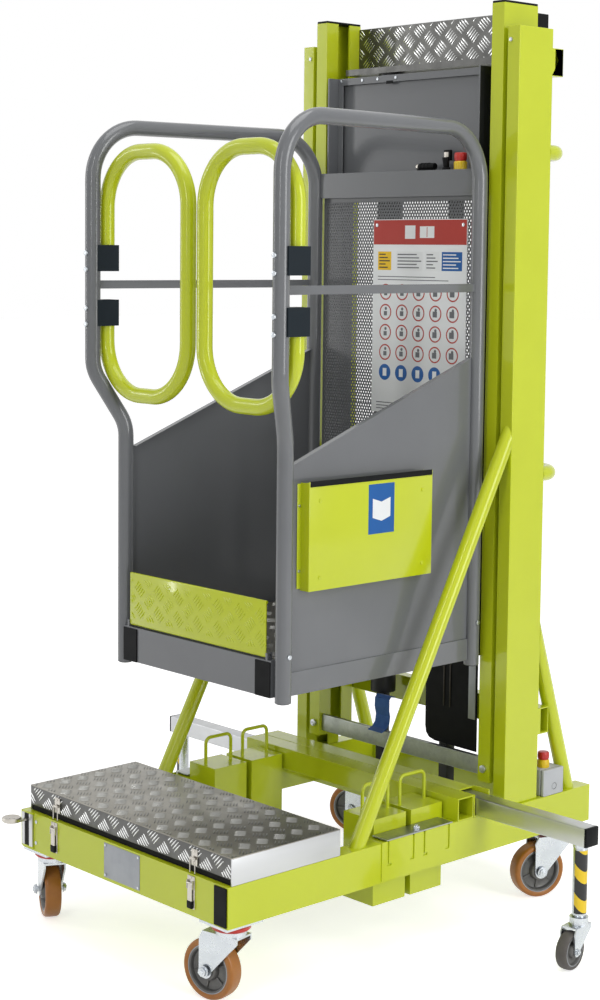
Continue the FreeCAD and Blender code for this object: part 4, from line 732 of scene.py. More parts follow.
def add_lines(bm, x, top, front, count, pitch, height, material, ragged=14):
    """Plain printed lines with a ragged right edge, which stand for text."""
    for line in range(count):
        add_box(bm, (x[0], x[1] - ragged * ((line * 2 + count) % 3)), (front - 0.12, front),
                (top - line * pitch - height, top - line * pitch), material)


def notice_board():
    """A printed sheet: red head, a band of plain boxes, rows of rings and a row of blue discs."""
    x, y, z = limits("sign_board")
    front = y[0] + 0.6
    white, red, black, yellow, blue, zinc, grey = range(7)
    bm = bmesh.new()
    add_box(bm, x, (front, y[1]), z, white, 0.5)
    header = z[1] - 57
    face = front - 0.3
    add_box(bm, (x[0] + 1.5, x[1] - 1.5), (face, front), (header, z[1] - 1.5), red, 0.2, 1)
    for at in (x[0] + 12, x[1] - 12):
        add_rod(bm, (at, face, z[1] - 13), (at, face - 0.9, z[1] - 13), 4.2, zinc, 20, edge=0.4)
    middle = (x[0] + x[1]) / 2
    add_boxes(bm,
              ((middle - 44, middle - 12), (face - 0.15, face), (header + 13, header + 43), white, 0.1, 1),
              ((middle + 2, middle + 46), (face - 0.15, face), (header + 15, header + 41), white, 0.1, 1),
              ((middle + 23, middle + 25), (face - 0.25, face - 0.13), (header + 17, header + 39), red))
    left, right = x[0] + 16, x[1] - 14
    row = header - 16
    for near, far, tone, lines in ((0, 42, yellow, black), (58, 140, white, grey), (148, 190, white, grey),
                                   (198, right - left, blue, white)):
        add_box(bm, (left + near, left + far), (front - 0.12, front), (row - 42, row), tone)
        add_lines(bm, (left + near + 4, left + far - 4), row - 5, front - 0.1, 5, 7.4, 2.6, lines, 7)
    row -= 56
    add_lines(bm, (left, right), row, front, 2, 7, 1.8, grey, 40)
    row -= 36
    pitch = (right - left) / 5
    for line in range(5):
        for column in range(5):
            cx, cz = left + pitch * (column + 0.5), row - 46 * line
            if line == 4 and column == 4:
                continue
            if line == 4:
                add_disc(bm, cx, cz, front, 18.5, blue)
                add_box(bm, (cx - 6, cx + 6), (front - 0.28, front - 0.14), (cz - 9, cz + 9), white, 0.1, 1)
                continue
            add_ring(bm, 15.4, 18.5, 0.2, (cx, front, cz), FRONT, red, 28)
            add_box(bm, (cx - 5 - column, cx + 5), (front - 0.14, front), (cz - 8, cz + 2 + column), grey)
            add_disc(bm, cx + 1, cz + 8, front, 3.6, grey)
    add_lines(bm, (left, right - 20), z[0] + 24, front, 3, 7, 2, grey, 50)
    stand_in(bm, "notice_board", "sign_board", ["white_vinyl", "red_vinyl", "black_vinyl", "yellow_vinyl",
                                                "blue_vinyl", "bright_zinc", "grey_vinyl"])


def document_case():
    """The open-topped document box on the outside of the cage, with its flanges, strip and blue sheet."""
    x, y, z = limits("document_case")
    bm = bmesh.new()
    wall = 1.6
    lime, black, blue, white, zinc = range(5)
    add_boxes(bm, ((x[1] - wall, x[1]), (y[0] + 10, y[1] - 2), z, lime, 0.7),
              ((x[0], x[0] + wall), (y[0], y[1]), (z[0] + 4, z[1] - 5), lime, 0.7),
              ((x[0] + 0.5, x[1] - 0.5), (y[0] + 10, y[1] - 2), (z[0] + 0.3, z[0] + wall), lime, 0.3))
    for near in (y[0] + 10, y[1] - 2 - wall):
        add_box(bm, (x[0], x[1] - 0.4), (near, near + wall), (z[0] + 0.4, z[1] - 3), lime, 0.4)
    add_box(bm, (x[1] - wall - 0.6, x[1] + 0.9), (y[0] + 12, y[1] - 4), (z[1] - 11, z[1] + 0.4), black, 0.5)
    middle, top = (y[0] + y[1]) / 2 + 30, z[1] - 18
    add_box(bm, (x[1], x[1] + 0.35), (middle - 38, middle + 38), (top - 104, top), blue, 0.3, 1)
    for side in (-1, 1):
        add_plate(bm, [(x[1] + 0.3, middle, top - 78), (x[1] + 0.3, middle + side * 26, top - 70),
                       (x[1] + 0.3, middle + side * 26, top - 30), (x[1] + 0.3, middle, top - 38)],
                  RIGHT, 0.25, white)
    for at_y in (y[0] + 40, y[1] - 32):
        for at_z in (z[0] + 26, z[1] - 40):
            add_screw(bm, (x[1], at_y, at_z), RIGHT, 8, 1.6, lime)
    for at_z in (z[0] + 40, z[1] - 50):
        add_screw(bm, (x[0] + wall, y[0] + 5, at_z), RIGHT, 6, 1.8, zinc)
    stand_in(bm, "document_box", "document_case", ["lime_powder_coat", "black_polyethylene_and_painted_shade", "blue_vinyl",
                                                   "white_vinyl", "bright_zinc"])


# ---- wheels ------------------------------------------------------------------------------

def castor_wheel(stem, tyre_finish):
    """A wheel on its axle: a tyre with rounded shoulders, a dished and ribbed centre, a bright rim."""
    centre, axis = joint(stem + "_roll")
    radius = (limits(stem + "_tyre")[2][1] - limits(stem + "_tyre")[2][0]) / 2
    seat = (limits(stem + "_hub")[2][1] - limits(stem + "_hub")[2][0]) / 2
    half, hub_half = spread(stem + "_tyre", centre, axis), spread(stem + "_hub", centre, axis)
    large = radius > 50
    tyre = bmesh.new()
    shoulder = min(7.0, half * 0.45)
    right = [(seat + 1.5, half - 0.6), (radius - shoulder, half)]
    for i in range(1, 7):
        turn = math.pi / 2 * i / 7
        right.append((radius - shoulder + (shoulder - 0.5) * math.sin(turn),
                      half - shoulder + shoulder * math.cos(turn)))
    right.append((radius - 0.4, half - shoulder))
    left = [(r, -h) for r, h in reversed(right)]
    outline = [(seat - 0.3, half * 0.92)] + right + [(radius, half * 0.2), (radius, -half * 0.2)] + left
    add_turned(tyre, outline + [(seat - 0.3, -half * 0.92)], centre, axis, 0, 80)
    stand_in(tyre, stem + "_tread", stem + "_tyre", [tyre_finish])
    hub = bmesh.new()
    boss = seat * 0.42
    rim, dish, edge = seat - (6.5 if large else 4.0), hub_half * 0.30, half * 0.88
    right = [(boss - 1.5, hub_half), (boss, hub_half - 1.5), (boss + 2.5, dish + 1.5), (boss + 5, dish),
             (rim - 4, dish), (rim - 1.5, dish + 1.5), (rim, edge - 1.2), (rim + 1.2, edge)]
    outline = right + [(seat, edge), (seat, -edge)] + [(r, -h) for r, h in reversed(right)]
    bore = boss * 0.5
    add_turned(hub, [(bore, hub_half)] + outline + [(bore, -hub_half)], centre, axis, 0, 80)
    spokes = 6 if large else 5
    for i in range(spokes):
        turn = Matrix.Rotation(2 * math.pi * i / spokes, 4, "Z")
        for side in (-1, 1):
            near, far = sorted((side * (dish - 0.5), side * (edge - 7)))
            verts = add_box(hub, (-2.0, 2.0), (boss - 1, rim), (near, far), 0)
            bmesh.ops.transform(hub, matrix=Matrix.Translation(centre) @ turn_to(axis) @ turn, verts=verts)
    for side in (-1, 1):
        out = axis * side
        add_ring(hub, seat - 2.2, seat - 0.6, 0.3, centre + out * (edge + 0.1), out, 1, 80, -1)
    stand_in(hub, stem + "_wheel_centre", stem + "_hub", ["lacquered_cast_iron", "anodised_plate"])


CASTORS = ("castor_fl", "castor_fr", "castor_rl", "castor_rr")
LEGS = ("outrigger_left", "outrigger_right")


def castor_wheels():
    for stem in CASTORS:
        castor_wheel(stem, "amber_polyurethane")
    for stem in LEGS:
        castor_wheel(stem, "grey_rubber")


def castor_forks():
    """Zinc-plated forks with a seal ring under the plate and hexagon axle bolts."""
    for stem in CASTORS + LEGS:
        node = stem + "_fork"
        soften(node, "bright_zinc", 0.8)
        large = stem in CASTORS
        centre, axis = joint(stem + "_roll")
        pivot, _ = joint(stem + "_swivel")
        reach = spread(node, centre, axis)
        top = limits(node)[2][1]
        bm = bmesh.new()
        if large:
            add_turned(bm, [(22, -10.5), (37, -10.5), (39.5, -8), (39.5, -2.5), (37, 0), (22, 0)],
                       (pivot.x, pivot.y, top - 0.4), TOP, 1, 64)
        for side in (-1, 1):
            face = centre + axis * side * reach
            add_bolt(bm, face - axis * side * 3.0, axis * side, 17 if large else 10, 5 if large else 3.4, 0,
                     washer=12 if large else 7)
        make_piece(bm, stem + "_fittings", body_of(node), ["bright_zinc", "red_polyamide"])


# ---- outriggers --------------------------------------------------------------------------

def add_square_tube(bm, x, y, z, wall, material):
    """A square tube along X with an open bore and rounded corners."""
    tube = bmesh.new()
    add_box(tube, x, y, z)
    bmesh.ops.delete(tube, geom=[f for f in tube.faces if abs(f.normal.x) > 0.9], context="FACES_ONLY")
    long_edges = [e for e in tube.edges if abs(e.verts[0].co.x - e.verts[1].co.x) > 1]
    round_off(tube, long_edges, 2.4, 3)
    bmesh.ops.recalc_face_normals(tube, faces=tube.faces)
    bmesh.ops.solidify(tube, geom=tube.faces[:], thickness=wall)
    take(bm, tube, material)


def outrigger_bars():
    """Square aluminium bars with black plugs; the zinc leg below each carries hazard tape."""
    for word, side in (("left", -1), ("right", 1)):
        node = "outrigger_" + word + "_bar"
        x, y, z = limits(node)
        pivot, _ = joint("outrigger_" + word + "_swivel")
        foot = z[1] - 40.0
        start, end = (x[0], x[1]) if side > 0 else (x[1], x[0])
        bm = bmesh.new()
        add_square_tube(bm, sorted((start, end - side * 4)), y, (foot, z[1]), 3.0, 0)
        add_box(bm, sorted((end - side * 7, end)), y, (foot, z[1]), 1, 1.4)
        radius = 15.0
        add_rod(bm, (pivot.x, pivot.y, z[0]), (pivot.x, pivot.y, foot + 1), radius, 2, 40, edge=0.6)
        add_turned(bm, [(radius - 0.2, 0), (radius + 1.4, 0), (radius + 1.4, 6), (radius - 0.2, 7)],
                   (pivot.x, pivot.y, foot - 7), TOP, 2, 40)
        stand_in(bm, "outrigger_" + word + "_beam", node,
                 ["mill_aluminium", "black_polyethylene_and_painted_shade", "bright_zinc"])
        tape = bmesh.new()
        bottom, top = z[0] + 8, foot - 12
        add_ring(tape, radius - 0.3, radius + 0.35, top - bottom, (pivot.x, pivot.y, bottom), TOP, 0, 40)
        cut_off(tape, (pivot.x, pivot.y, bottom), (-side, 0.15, 0))
        close_holes(tape)
        make_piece(tape, "outrigger_" + word + "_tape", body_of(node), ["hazard_tape"])


# ---- latches, pedal, stops and controls --------------------------------------------------

LATCHES = (-224.0, 234.0)


def latches():
    """Toggle latches: a base plate, ears with a pin, a lever with a black tip; catch and wire above."""
    _, y, z = limits("latch_levers")
    front, low, high = y[1], z[0], z[1]
    bm = bmesh.new()
    for at in LATCHES:
        add_box(bm, (at - 11, at + 11), (front - 2.0, front), (low, high), 0, 0.6)
        for dx in (-9.0, 7.4):
            add_box(bm, (at + dx, at + dx + 1.6), (front - 6.6, front - 1), (high - 26, high - 8), 0, 0.5)
        pin = (front - 4.6, high - 14)
        add_rod(bm, (at - 9.6, *pin), (at + 9.6, *pin), 2.2, 0, 18, edge=0.5)
        add_boxes(bm, ((at - 6.6, at + 6.6), (front - 6.2, front - 3.4), (low + 12, high - 14), 0, 1.1),
                  ((at - 8.0, at + 8.0), (front - 7.0, front - 1.8), (low + 1, low + 17), 1, 2.0, 3))
        for dz in (low + 24, high - 4):
            add_screw(bm, (at, front - 2.0, dz), FRONT, 4.6, 0.9)
    stand_in(bm, "toggle_latches", "latch_levers", ["brushed_stainless", "black_polyethylene_and_painted_shade"])
    _, y, z = limits("lid_hooks")
    skirt = y[1]
    bm = bmesh.new()
    for at in LATCHES:
        add_boxes(bm, ((at - 9, at + 9), (skirt - 1.6, skirt), (z[0] + 14, z[1]), 0, 0.5),
                  ((at - 8, at + 8), (y[0] + 1.4, skirt - 0.6), (z[0] + 27, z[0] + 29), 0, 0.6),
                  ((at - 8, at + 8), (y[0] + 1.0, y[0] + 2.6), (z[0] + 27.4, z[0] + 32), 0, 0.5))
        for dz in (z[1] - 5, z[0] + 20):
            add_screw(bm, (at, skirt - 1.5, dz), FRONT, 4.6, 1.0)
        wire = y[0] + 1.5
        add_tube(bm, [(at - 7.6, wire, z[0] + 0.6), (at - 7.6, wire, z[0] + 28), (at + 7.6, wire, z[0] + 28),
                      (at + 7.6, wire, z[0] + 0.6)], 1.1, 0, 3.0, 12, 5)
    stand_in(bm, "latch_catches", "lid_hooks", ["brushed_stainless"])


def foot_pedal():
    """The brake pedal's round pad of scoured metal; its arm leaves a slot between two strips, where a black
    block is painted shade.
    """
    x, y, z = limits("foot_pedal")
    radius = 21.0
    middle = (x[0] + x[1]) / 2
    low, high, front = z[0], z[1], y[1]
    centre = (middle, y[0] + radius, high - 15)
    bm = bmesh.new()
    pad = [(0, 0), (radius - 2, 0), (radius, 2), (radius, 7.6), (radius - 1.6, 9.6), (radius - 4, 10),
           (radius - 5.6, 9.0), (0, 9.0)]
    add_turned(bm, pad, centre, TOP, 0, 56)
    for near, far in ((x[0] + 3, x[0] + 13), (x[1] - 13, x[1] - 1)):
        add_box(bm, (near, far), (front - 5, front), (low + 4, high - 4), 1, 1.2)
    # The black block between the strips is painted shade in the arm's slot.
    add_boxes(bm, ((x[0] + 10, x[1] - 10), (front - 3, front), (low + 4, high - 4), 2),
              ((x[0], x[0] + 3.2), (front - 4, front), (low, high), 3, 0.6))
    for near, far in ((low, low + 4.2), (high - 4.2, high)):
        add_box(bm, (x[0] + 1, x[1]), (front - 4, front), (near, far), 3, 0.6)
    add_box(bm, (middle - 5, middle + 5), (y[0] + radius, front - 1), (high - 20, high - 15), 0, 1.0)
    stand_in(bm, "brake_pedal", "foot_pedal",
             ["brushed_stainless", "mill_aluminium", "black_polyethylene_and_painted_shade", "lime_powder_coat"])


def add_stop_button(bm, x, y, foot, top, radius, red, yellow):
    """A mushroom head over a ribbed collar."""
    split = foot + (top - foot) * 0.5
    add_turned(bm, [(0, 0), (radius * 1.02, 0), (radius * 1.02, split - foot - 2),
                    (radius * 0.9, split - foot), (0, split - foot)], (x, y, foot), TOP, yellow)
    height = top - split
    add_turned(bm, [(0, 0), (radius * 0.86, 0), (radius, height * 0.2), (radius * 1.02, height * 0.5),
                    (radius * 0.98, height * 0.84), (radius * 0.86, height * 0.96), (radius * 0.5, height),
                    (0, height)], (x, y, split), TOP, red)
    for i in range(24):
        turn = 2 * math.pi * i / 24
        place = Vector((x + radius * math.cos(turn), y + radius * math.sin(turn), 0))
        add_rod(bm, place + UP * (foot + 1), place + UP * (split - 2), 0.8, yellow, 6)


BUTTONS = ["red_polyamide", "yellow_polyamide"]


def base_stop():
    """The switch box on the base: grey housing, its lid on the right with a knockout, button on top."""
    x, y, z = limits("base_stop")
    box_top = z[0] + 60.0
    bm = bmesh.new()
    seam, inset = x[1] - 9.5, 0.9  # the lid is the 9 mm on the right of the seam
    add_boxes(bm, ((x[0], seam - 0.3), y, (z[0], box_top), 0, 2.4, 3),
              ((seam - 1.5, seam + 1.5), (y[0] + inset, y[1] - inset), (z[0] + inset, box_top - inset), 1),
              ((seam + 0.3, x[1]), y, (z[0], box_top), 0, 2.4, 3))
    knock = ((y[0] + y[1]) / 2 + 2, z[0] + 20)
    add_ring(bm, 7.8, 9.4, 0.5, (x[1], *knock), RIGHT, 0, 36, -0.5)
    add_ring(bm, 6.8, 7.8, 0.12, (x[1], *knock), RIGHT, 1, 36, -0.5)
    for height in (z[0] + 7, box_top - 7):
        for at in (y[0] + 7, y[1] - 7):
            add_screw(bm, (x[1] - 0.4, at, height), RIGHT, 5, 0.4, 2)
    stand_in(bm, "switch_box", "base_stop", ["grey_polycarbonate", "black_rubber", "bright_zinc"])
    bm = bmesh.new()
    add_stop_button(bm, x[1] - 27, 448, box_top - 0.3, z[1], 13.0, 0, 1)
    make_piece(bm, "switch_box_button", body_of("base_stop"), BUTTONS)


def cage_controls():
    """On the shelf: the stop button, a key lever, a rocker switch and a charging socket."""
    _, y, z = limits("cage_controls")
    shelf, back_face = z[0], y[1]
    bm = bmesh.new()
    lever = (145, 276)
    add_rod(bm, (*lever, shelf - 0.2), (*lever, shelf + 6), 9.0, 0, 36, edge=1.0)
    add_rod(bm, (*lever, shelf + 5), (lever[0] - 1, lever[1] - 1, shelf + 28), 6.0, 0, 28, 8.6, 1.4)
    add_boxes(bm, ((114, 134), (back_face - 8, back_face), (z[1] - 24, z[1]), 0, 1.6),
              ((117, 131), (back_face - 11, back_face - 6), (z[1] - 20, z[1] - 5), 2, 1.4))
    way = 284
    add_rod(bm, (57, way, shelf + 9), (104, way, shelf + 9), 8.0, 0, 36, edge=1.2)
    add_rod(bm, (50, way, shelf + 9), (58, way, shelf + 9), 7.0, 2, 36, edge=0.8)
    for at in (64, 74, 84):
        add_ring(bm, 7.6, 8.8, 3, (at, way, shelf + 9.2), RIGHT, 0, 36)
    add_box(bm, (56, 100), (way - 8, way + 8), (shelf - 0.1, shelf + 3), 0, 0.8)
    stand_in(bm, "shelf_controls", "cage_controls",
             ["black_polyethylene_and_painted_shade", "bright_zinc", "brushed_stainless"])
    bm = bmesh.new()
    add_stop_button(bm, 178, 286, shelf - 0.2, shelf + 38, 14.0, 0, 1)
    make_piece(bm, "shelf_button", body_of("cage_controls"), BUTTONS)


# ---- ballast, mast inside ----------------------------------------------------------------

def ballast():
    """Cast blocks in the machine's green with bent wire handles; zinc bars hold them down."""
    soften("ballast_blocks", "lime_powder_coat", 2.4)
    bm = bmesh.new()
    x, y, z = limits("ballast_straps")
    middle = (y[0] + y[1]) / 2
    for side in (-1, 1):
        at = side * (x[1] - 13)
        add_bolt(bm, (at, middle, z[1] - 0.2), TOP, 13, 7, 0, washer=9.5)
    make_piece(bm, "strap_bolts", body_of("ballast_straps"), ["bright_zinc"])


def mast_inside():
    """The ram's black rod beside its guide, the apron and trims below the cage, and the blue strap."""
    x, y, z = limits("mast_posts")
    middle = (y[0] + y[1]) / 2
    ram_x, rod_radius = -104.0, 16.0
    bm = bmesh.new()
    add_rod(bm, (ram_x, middle, z[0]), (ram_x, middle, z[1] - 40), rod_radius, 0, 36, edge=0.6)
    add_box(bm, (x[1] - 26, x[1]), (middle - 13, middle + 13), z, 0, 1.2)
    add_turned(bm, [(rod_radius - 0.5, 0), (25, 0), (27, 2), (27, 12), (25, 14), (rod_radius - 0.5, 14)],
               (ram_x, middle, z[0]), TOP, 0, 40)
    stand_in(bm, "ram_rod_and_guide", "mast_posts", ["black_coat_and_painted_shade"])
    floor_z = limits("carriage")[2][0]
    bm = bmesh.new()
    sheet, top = 322, floor_z + 40  # the apron's front face, and its top behind the carriage's foot
    outline = [(66, top), (224, top), (224, 351), (96, 353), (78, 358), (69, 368), (66, 384)]
    add_plate(bm, [(at_x, sheet, at_z) for at_x, at_z in outline], (0, 1, 0), 3.0, 0, 0.8)
    for left in (122, 141):
        add_box(bm, (left, left + 4.5), (sheet - 1.6, sheet + 0.2), (440, top), 1, 0.5)
    add_box(bm, (200, 221), (sheet - 2.4, sheet + 0.2), (425, top), 2, 0.7)
    add_screw(bm, (210, 319.8, floor_z - 12), FRONT, 7, 2.2, 1)
    make_piece(bm, "mast_apron", body_of("carriage"), ["black_polyethylene_and_painted_shade", "oiled_steel", "anodised_plate"])
    bm = bmesh.new()
    path = [(330, 428), (316, 431), (309, 424), (308, 404), (313, 384), (310, 366), (300, 355), (286, 350)]
    half = 1.1  # half of the webbing's thickness
    for (ya, za), (yb, zb) in zip(path, path[1:]):
        way = Vector((0, yb - ya, zb - za)).normalized()
        off = Vector((0, -way.z, way.y)) * half
        a, b = Vector((0, ya, za)) - way * 0.8, Vector((0, yb, zb)) + way * 0.8
        rim = [a + off, b + off, b - off, a - off]
        add_plate(bm, [(-84, p.y, p.z) for p in rim], RIGHT, 46, 0, 0.4)
    make_piece(bm, "lashing_strap", body_of("ram_barrel"), ["blue_webbing"])


def fasteners():
    """Screws, bolts and plugs along the hoops, columns, pan and base, and the plain type plate.

    Their places across and up are read off the photograph, in millimetres.
    """
    front = limits("base_frame")[1][0]
    bm = bmesh.new()
    add_box(bm, (-49, 70), (front - 1.0, front), (178, 251), 0, 0.5)
    for at_x in (-44, 65):
        for at_z in (183, 246):
            add_screw(bm, (at_x, front - 1.0, at_z), FRONT, 5.4, 1.2, 1)
    for at_x, at_z in ((-292, 237), (-293, 190)):
        add_screw(bm, (at_x, front + 0.2, at_z), FRONT, 8, 1.6, 1)
    make_piece(bm, "type_plate", body_of("base_frame"), ["anodised_plate", "bright_zinc"])
    hoop_front, hoop_foot = limits("cage_hoops")[1][0], limits("cage_hoops")[2][0]
    bm = bmesh.new()
    for side in (-1, 1):
        for height in (1314, 1349, 1433, 1468):
            add_screw(bm, (303 * side, hoop_front + 0.6, height), FRONT, 11, 4.6)
        for depth in (-305, 261):
            add_screw(bm, (side * 274.6, depth, 664), (side, 0, 0), 10, 3.6)
            add_rod(bm, (side * 258, depth, hoop_foot - 1.5), (side * 258, depth, hoop_foot + 2), 14.5, 1, 32,
                    edge=0.6)
    make_piece(bm, "hoop_bolts", body_of("cage_hoops"), ["bright_zinc", "black_polyethylene_and_painted_shade"])
    pan_face, pan_top = limits("mast_pan")[1][0], limits("mast_pan")[2][1]
    bm = bmesh.new()
    for at_x in (-223, -153, -103, -45, 228):
        add_screw(bm, (at_x, pan_face + 0.3, pan_top - 7), FRONT, 7, 2.2)
    # A black patch flush with the pan's face, painted shade for a recess.
    add_box(bm, (-76, -54), (pan_face - 0.4, pan_face + 0.4), (pan_top - 20, pan_top - 13), 1, 0.2, 1)
    make_piece(bm, "pan_screws", body_of("mast_pan"), ["bright_zinc", "black_polyethylene_and_painted_shade"])
    column_face = limits("outer_mast")[1][0]
    bm = bmesh.new()
    for side in (-1, 1):
        add_screw(bm, (side * 312, column_face + 0.3, 1932), FRONT, 9, 3.4)
        add_screw(bm, (side * 124, 339, 254.8), TOP, 10, 3.6)
    make_piece(bm, "mast_screws", body_of("outer_mast"), ["bright_zinc"])
    bm = bmesh.new()
    for side in (-1, 1):
        add_screw(bm, (side * 274, column_face + 0.3, 329), FRONT, 17, 6.5)
    make_piece(bm, "inner_mast_bolts", body_of("inner_mast"), ["bright_zinc"])


# ---- stage -------------------------------------------------------------------------------

def aim_camera(settings):
    """The photograph's camera: turned, tilted and rolled about where it stands."""
    data = bpy.data.cameras.new("view")
    data.lens, data.sensor_width, data.sensor_fit = settings.lens, 36, "AUTO"
    data.shift_x, data.shift_y = settings.shift_x, settings.shift_y
    data.clip_start, data.clip_end = 0.1, 90
    camera = link("view", data)
    camera.location = settings.camera_place
    yaw, pitch, roll = settings.camera_yaw, settings.camera_pitch, settings.camera_roll
    ahead = Vector((-math.sin(yaw) * math.cos(pitch), math.cos(yaw) * math.cos(pitch), -math.sin(pitch)))
    right = Vector((math.cos(yaw), math.sin(yaw), 0))
    up = right.cross(ahead)
    side = right * math.cos(roll) + up * math.sin(roll)
    top = -right * math.sin(roll) + up * math.cos(roll)
    camera.rotation_euler = Matrix((side, top, -ahead)).transposed().to_euler()
    bpy.context.scene.camera = camera
    return camera


def shown_directly(tree):
    """1 for the rays of the camera, of reflections and of what is seen through, else 0."""
    rays = add_node(tree, "ShaderNodeLightPath").outputs
    seen = maths(tree, "MAXIMUM", rays["Is Camera Ray"], rays["Is Transmission Ray"])
    return maths(tree, "MAXIMUM", seen, rays["Is Glossy Ray"])


def white_floor():
    """A wide matt floor that the camera sees as white, with the machine's soft shadow on it."""
    bm = bmesh.new()
    bmesh.ops.create_grid(bm, x_segments=1, y_segments=1, size=30)
    floor = link("floor", mesh_of(bm, "floor"))
    material, tree, _ = open_material("white_floor_paint")
    # Matt white studio floor: a glow that only the eye and reflections meet keeps it as white as the
    # surroundings, and the machine's shadow still shows on it.
    close_material(material, tree, {"Base Color": linear("#F2F2F2"), "Roughness": 0.9,
                                    "Emission Color": linear("#FFFFFF"),
                                    "Emission Strength": maths(tree, "MULTIPLY", shown_directly(tree), 0.62)})
    floor.data.materials.append(material)
    return floor


LAMPS = {
    # Each lamp: place, aim, width and height in metres, share of the lamps' power.
    "front": ((2.0, -4.4, 3.0), (0.0, 0.0, 1.0), (0.22, 3.2), 0.36),
    "right": ((4.4, 0.6, 2.2), (0.2, 0.1, 1.0), (1.6, 3.2), 0.88),
    "left": ((-3.6, -2.6, 2.2), (0.0, 0.0, 1.0), (0.22, 3.4), 0.22),
    "overhead": ((0.6, -0.2, 4.8), (0.0, 0.0, 0.0), (2.6, 2.6), 0.6),
}


def stage(settings):
    """Camera, lamps, pale floor and white surroundings."""
    scene = bpy.context.scene
    things = [aim_camera(settings), white_floor()]
    for name, (place, aim, size, share) in LAMPS.items():
        light = bpy.data.lights.new(name, "AREA")
        light.shape = "RECTANGLE"
        light.size, light.size_y = size
        light.energy = settings.lamp_power * share
        lamp = link(name, light)
        lamp.location = place
        lamp.rotation_euler = (Vector(aim) - Vector(place)).to_track_quat("-Z", "Y").to_euler()
        things.append(lamp)
    world = bpy.data.worlds.new("white_surroundings")
    world.use_nodes = True
    tree = world.node_tree
    tree.nodes.clear()
    level = ranged(tree, shown_directly(tree), (settings.sky_power, 1.0))
    shine = add_node(tree, "ShaderNodeBackground", inputs={
        "Color": linear("#FFFFFF"), "Strength": level}).outputs["Background"]
    add_node(tree, "ShaderNodeOutputWorld", inputs={"Surface": shine})
    scene.world = world
    scene.view_settings.view_transform = "Standard"


# ---- settings, operators and panel -------------------------------------------------------

def size_setting(label, about, millimetres):
    return number_setting(label, about, millimetres * MM, min=0.0, unit="LENGTH", precision=4)


def colour_setting(label, about, finish_name):
    base = FINISHES[finish_name][1]
    return bpy.props.FloatVectorProperty(name=label, description=about, subtype="COLOR", size=3, min=0.0,
                                         max=1.0, default=linear(base)[:3])


def number_setting(label, about, default, **more):
    return bpy.props.FloatProperty(name=label, description=about, default=default, **more)


def angle_setting(label, about, degrees):
    return number_setting(label, about, math.radians(degrees), subtype="ANGLE")


class LiftSettings(bpy.types.PropertyGroup):
    """Sizes of the fine parts and the colours of the coats."""

    bar_length: size_setting("Bar length", "Length of a raised bar of the tread plate", 30)
    bar_width: size_setting("Bar width", "Width of a raised bar of the tread plate", 3.6)
    bar_height: size_setting("Bar height", "How far a bar stands proud of its plate", 1.2)
    bar_gap: size_setting("Bar spacing", "Distance between the five bars of a group", 6.7)
    group_across: size_setting("Groups across", "Repeat of the groups of bars across the plate", 66)
    group_along: size_setting("Groups along", "Repeat of the groups of bars along the plate", 47)
    hole_pitch: size_setting("Hole pitch", "Distance between the holes of the perforated panel", 8)
    hole_size: size_setting("Hole size", "Size of the perforated panel's holes", 5.6)
    machine_colour: colour_setting("Machine", "Powder coat of the base, mast and gates", "lime_powder_coat")
    cage_colour: colour_setting("Cage", "Powder coat of the cage", "grey_powder_coat")
    tyre_colour: colour_setting("Tyres", "Polyurethane of the base's wheels", "amber_polyurethane")


class LiftStageSettings(bpy.types.PropertyGroup):
    """Where the camera stands and how bright the lamps are."""

    lens: number_setting("Lens", "Focal length", 68.22, min=1.0, unit="CAMERA")
    shift_x: number_setting("Shift X", "Sideways shift of the view", 0.0382)
    shift_y: number_setting("Shift Y", "Upward shift of the view", -0.0771)
    camera_place: bpy.props.FloatVectorProperty(name="Camera", description="Where the camera stands", size=3,
                                                default=(3.0174, -2.8533, 1.4770), subtype="TRANSLATION",
                                                unit="LENGTH")
    camera_yaw: angle_setting("Yaw", "Turn of the camera to the left of the mast", 48)
    camera_pitch: angle_setting("Pitch", "Tilt of the camera towards the floor", 5.2)
    camera_roll: angle_setting("Roll", "Roll of the camera", 0.5)
    lamp_power: number_setting("Lamps", "Power that the lamps share out", 100, min=0.0, unit="POWER")
    sky_power: number_setting("Surroundings", "Light that the surroundings give", 0.42, min=0.0)


class LIFT_OT_solids(bpy.types.Operator):
    """Gives the frames, columns, cage and gates their coats and rounded edges"""
    bl_idname = "lift.solids"
    bl_label = "Coated frames"

    def execute(self, context):
        dress_solids()
        return {"FINISHED"}


class LIFT_OT_tread(bpy.types.Operator):
    """Builds the tread plates of the step, the deck, the mast's head and the toe board"""
    bl_idname = "lift.tread"
    bl_label = "Tread plates"

    def execute(self, context):
        tread_lid(context.scene.lift)
        tread_sheets(context.scene.lift)
        toe_board(context.scene.lift)
        return {"FINISHED"}


class LIFT_OT_panel(bpy.types.Operator):
    """Builds the perforated panel behind the cage"""
    bl_idname = "lift.perforated_panel"
    bl_label = "Perforated panel"

    def execute(self, context):
        perforated_panel(context.scene.lift)
        return {"FINISHED"}


class LIFT_OT_board(bpy.types.Operator):
    """Builds the notice board and the document box"""
    bl_idname = "lift.board"
    bl_label = "Board and box"

    def execute(self, context):
        notice_board()
        document_case()
        return {"FINISHED"}


class LIFT_OT_wheels(bpy.types.Operator):
    """Builds the castors' wheels and dresses their forks"""
    bl_idname = "lift.wheels"
    bl_label = "Castors"

    def execute(self, context):
        castor_wheels()
        castor_forks()
        return {"FINISHED"}


class LIFT_OT_outriggers(bpy.types.Operator):
    """Builds the outriggers' bars and legs"""
    bl_idname = "lift.outriggers"
    bl_label = "Outriggers"

    def execute(self, context):
        outrigger_bars()
        return {"FINISHED"}


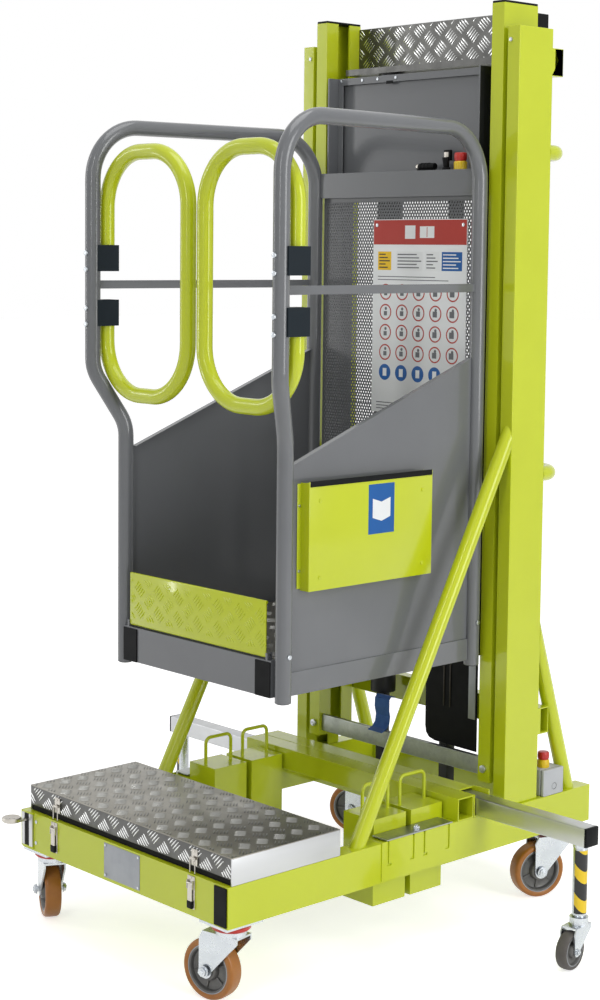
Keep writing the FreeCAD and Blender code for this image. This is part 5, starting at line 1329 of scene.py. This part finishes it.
class LIFT_OT_base_parts(bpy.types.Operator):
    """Builds the latches, the brake pedal, the switch box and the ballast"""
    bl_idname = "lift.base_parts"
    bl_label = "Base parts"

    def execute(self, context):
        latches()
        foot_pedal()
        base_stop()
        ballast()
        return {"FINISHED"}


class LIFT_OT_controls(bpy.types.Operator):
    """Builds the controls on the cage's shelf"""
    bl_idname = "lift.controls"
    bl_label = "Cage controls"

    def execute(self, context):
        cage_controls()
        return {"FINISHED"}


class LIFT_OT_mast_inside(bpy.types.Operator):
    """Builds the ram's rod, the guide post and what hangs between the columns"""
    bl_idname = "lift.mast_inside"
    bl_label = "Inside the mast"

    def execute(self, context):
        mast_inside()
        return {"FINISHED"}


class LIFT_OT_fasteners(bpy.types.Operator):
    """Adds the screws, bolts and plugs and the plain type plate"""
    bl_idname = "lift.fasteners"
    bl_label = "Fasteners"

    def execute(self, context):
        fasteners()
        return {"FINISHED"}


class LIFT_OT_stage(bpy.types.Operator):
    """Sets up the camera, the lamps, the floor and the surroundings"""
    bl_idname = "lift.stage"
    bl_label = "Stage"

    def execute(self, context):
        stage(context.scene.lift_stage)
        return {"FINISHED"}


OPERATORS = (LIFT_OT_solids, LIFT_OT_tread, LIFT_OT_panel, LIFT_OT_board, LIFT_OT_wheels, LIFT_OT_outriggers,
             LIFT_OT_base_parts, LIFT_OT_controls, LIFT_OT_mast_inside, LIFT_OT_fasteners, LIFT_OT_stage)


class LIFT_PT_builder(bpy.types.Panel):
    """Lists the lift's settings and the steps that build it"""
    bl_idname = "LIFT_PT_builder"
    bl_label = "Vertical mast lift"
    bl_space_type = "VIEW_3D"
    bl_region_type = "UI"
    bl_category = "Lift"

    def draw(self, context):
        for group in (context.scene.lift, context.scene.lift_stage):
            column = self.layout.column(align=True)
            for name in group.__annotations__:
                column.prop(group, name)
        for operator in OPERATORS:
            self.layout.operator(operator.bl_idname)


CLASSES = (LiftSettings, LiftStageSettings) + OPERATORS + (LIFT_PT_builder,)


def register():
    for one in CLASSES:
        bpy.utils.register_class(one)
    bpy.types.Scene.lift = bpy.props.PointerProperty(type=LiftSettings)
    bpy.types.Scene.lift_stage = bpy.props.PointerProperty(type=LiftStageSettings)


def unregister():
    del bpy.types.Scene.lift_stage
    del bpy.types.Scene.lift
    for one in reversed(CLASSES):
        bpy.utils.unregister_class(one)


def main():
    register()
    bpy.ops.lift.solids()
    bpy.ops.lift.tread()
    bpy.ops.lift.perforated_panel()
    bpy.ops.lift.board()
    bpy.ops.lift.wheels()
    bpy.ops.lift.outriggers()
    bpy.ops.lift.base_parts()
    bpy.ops.lift.controls()
    bpy.ops.lift.mast_inside()
    bpy.ops.lift.fasteners()
    bpy.ops.lift.stage()


if __name__ == "__main__":
    main()
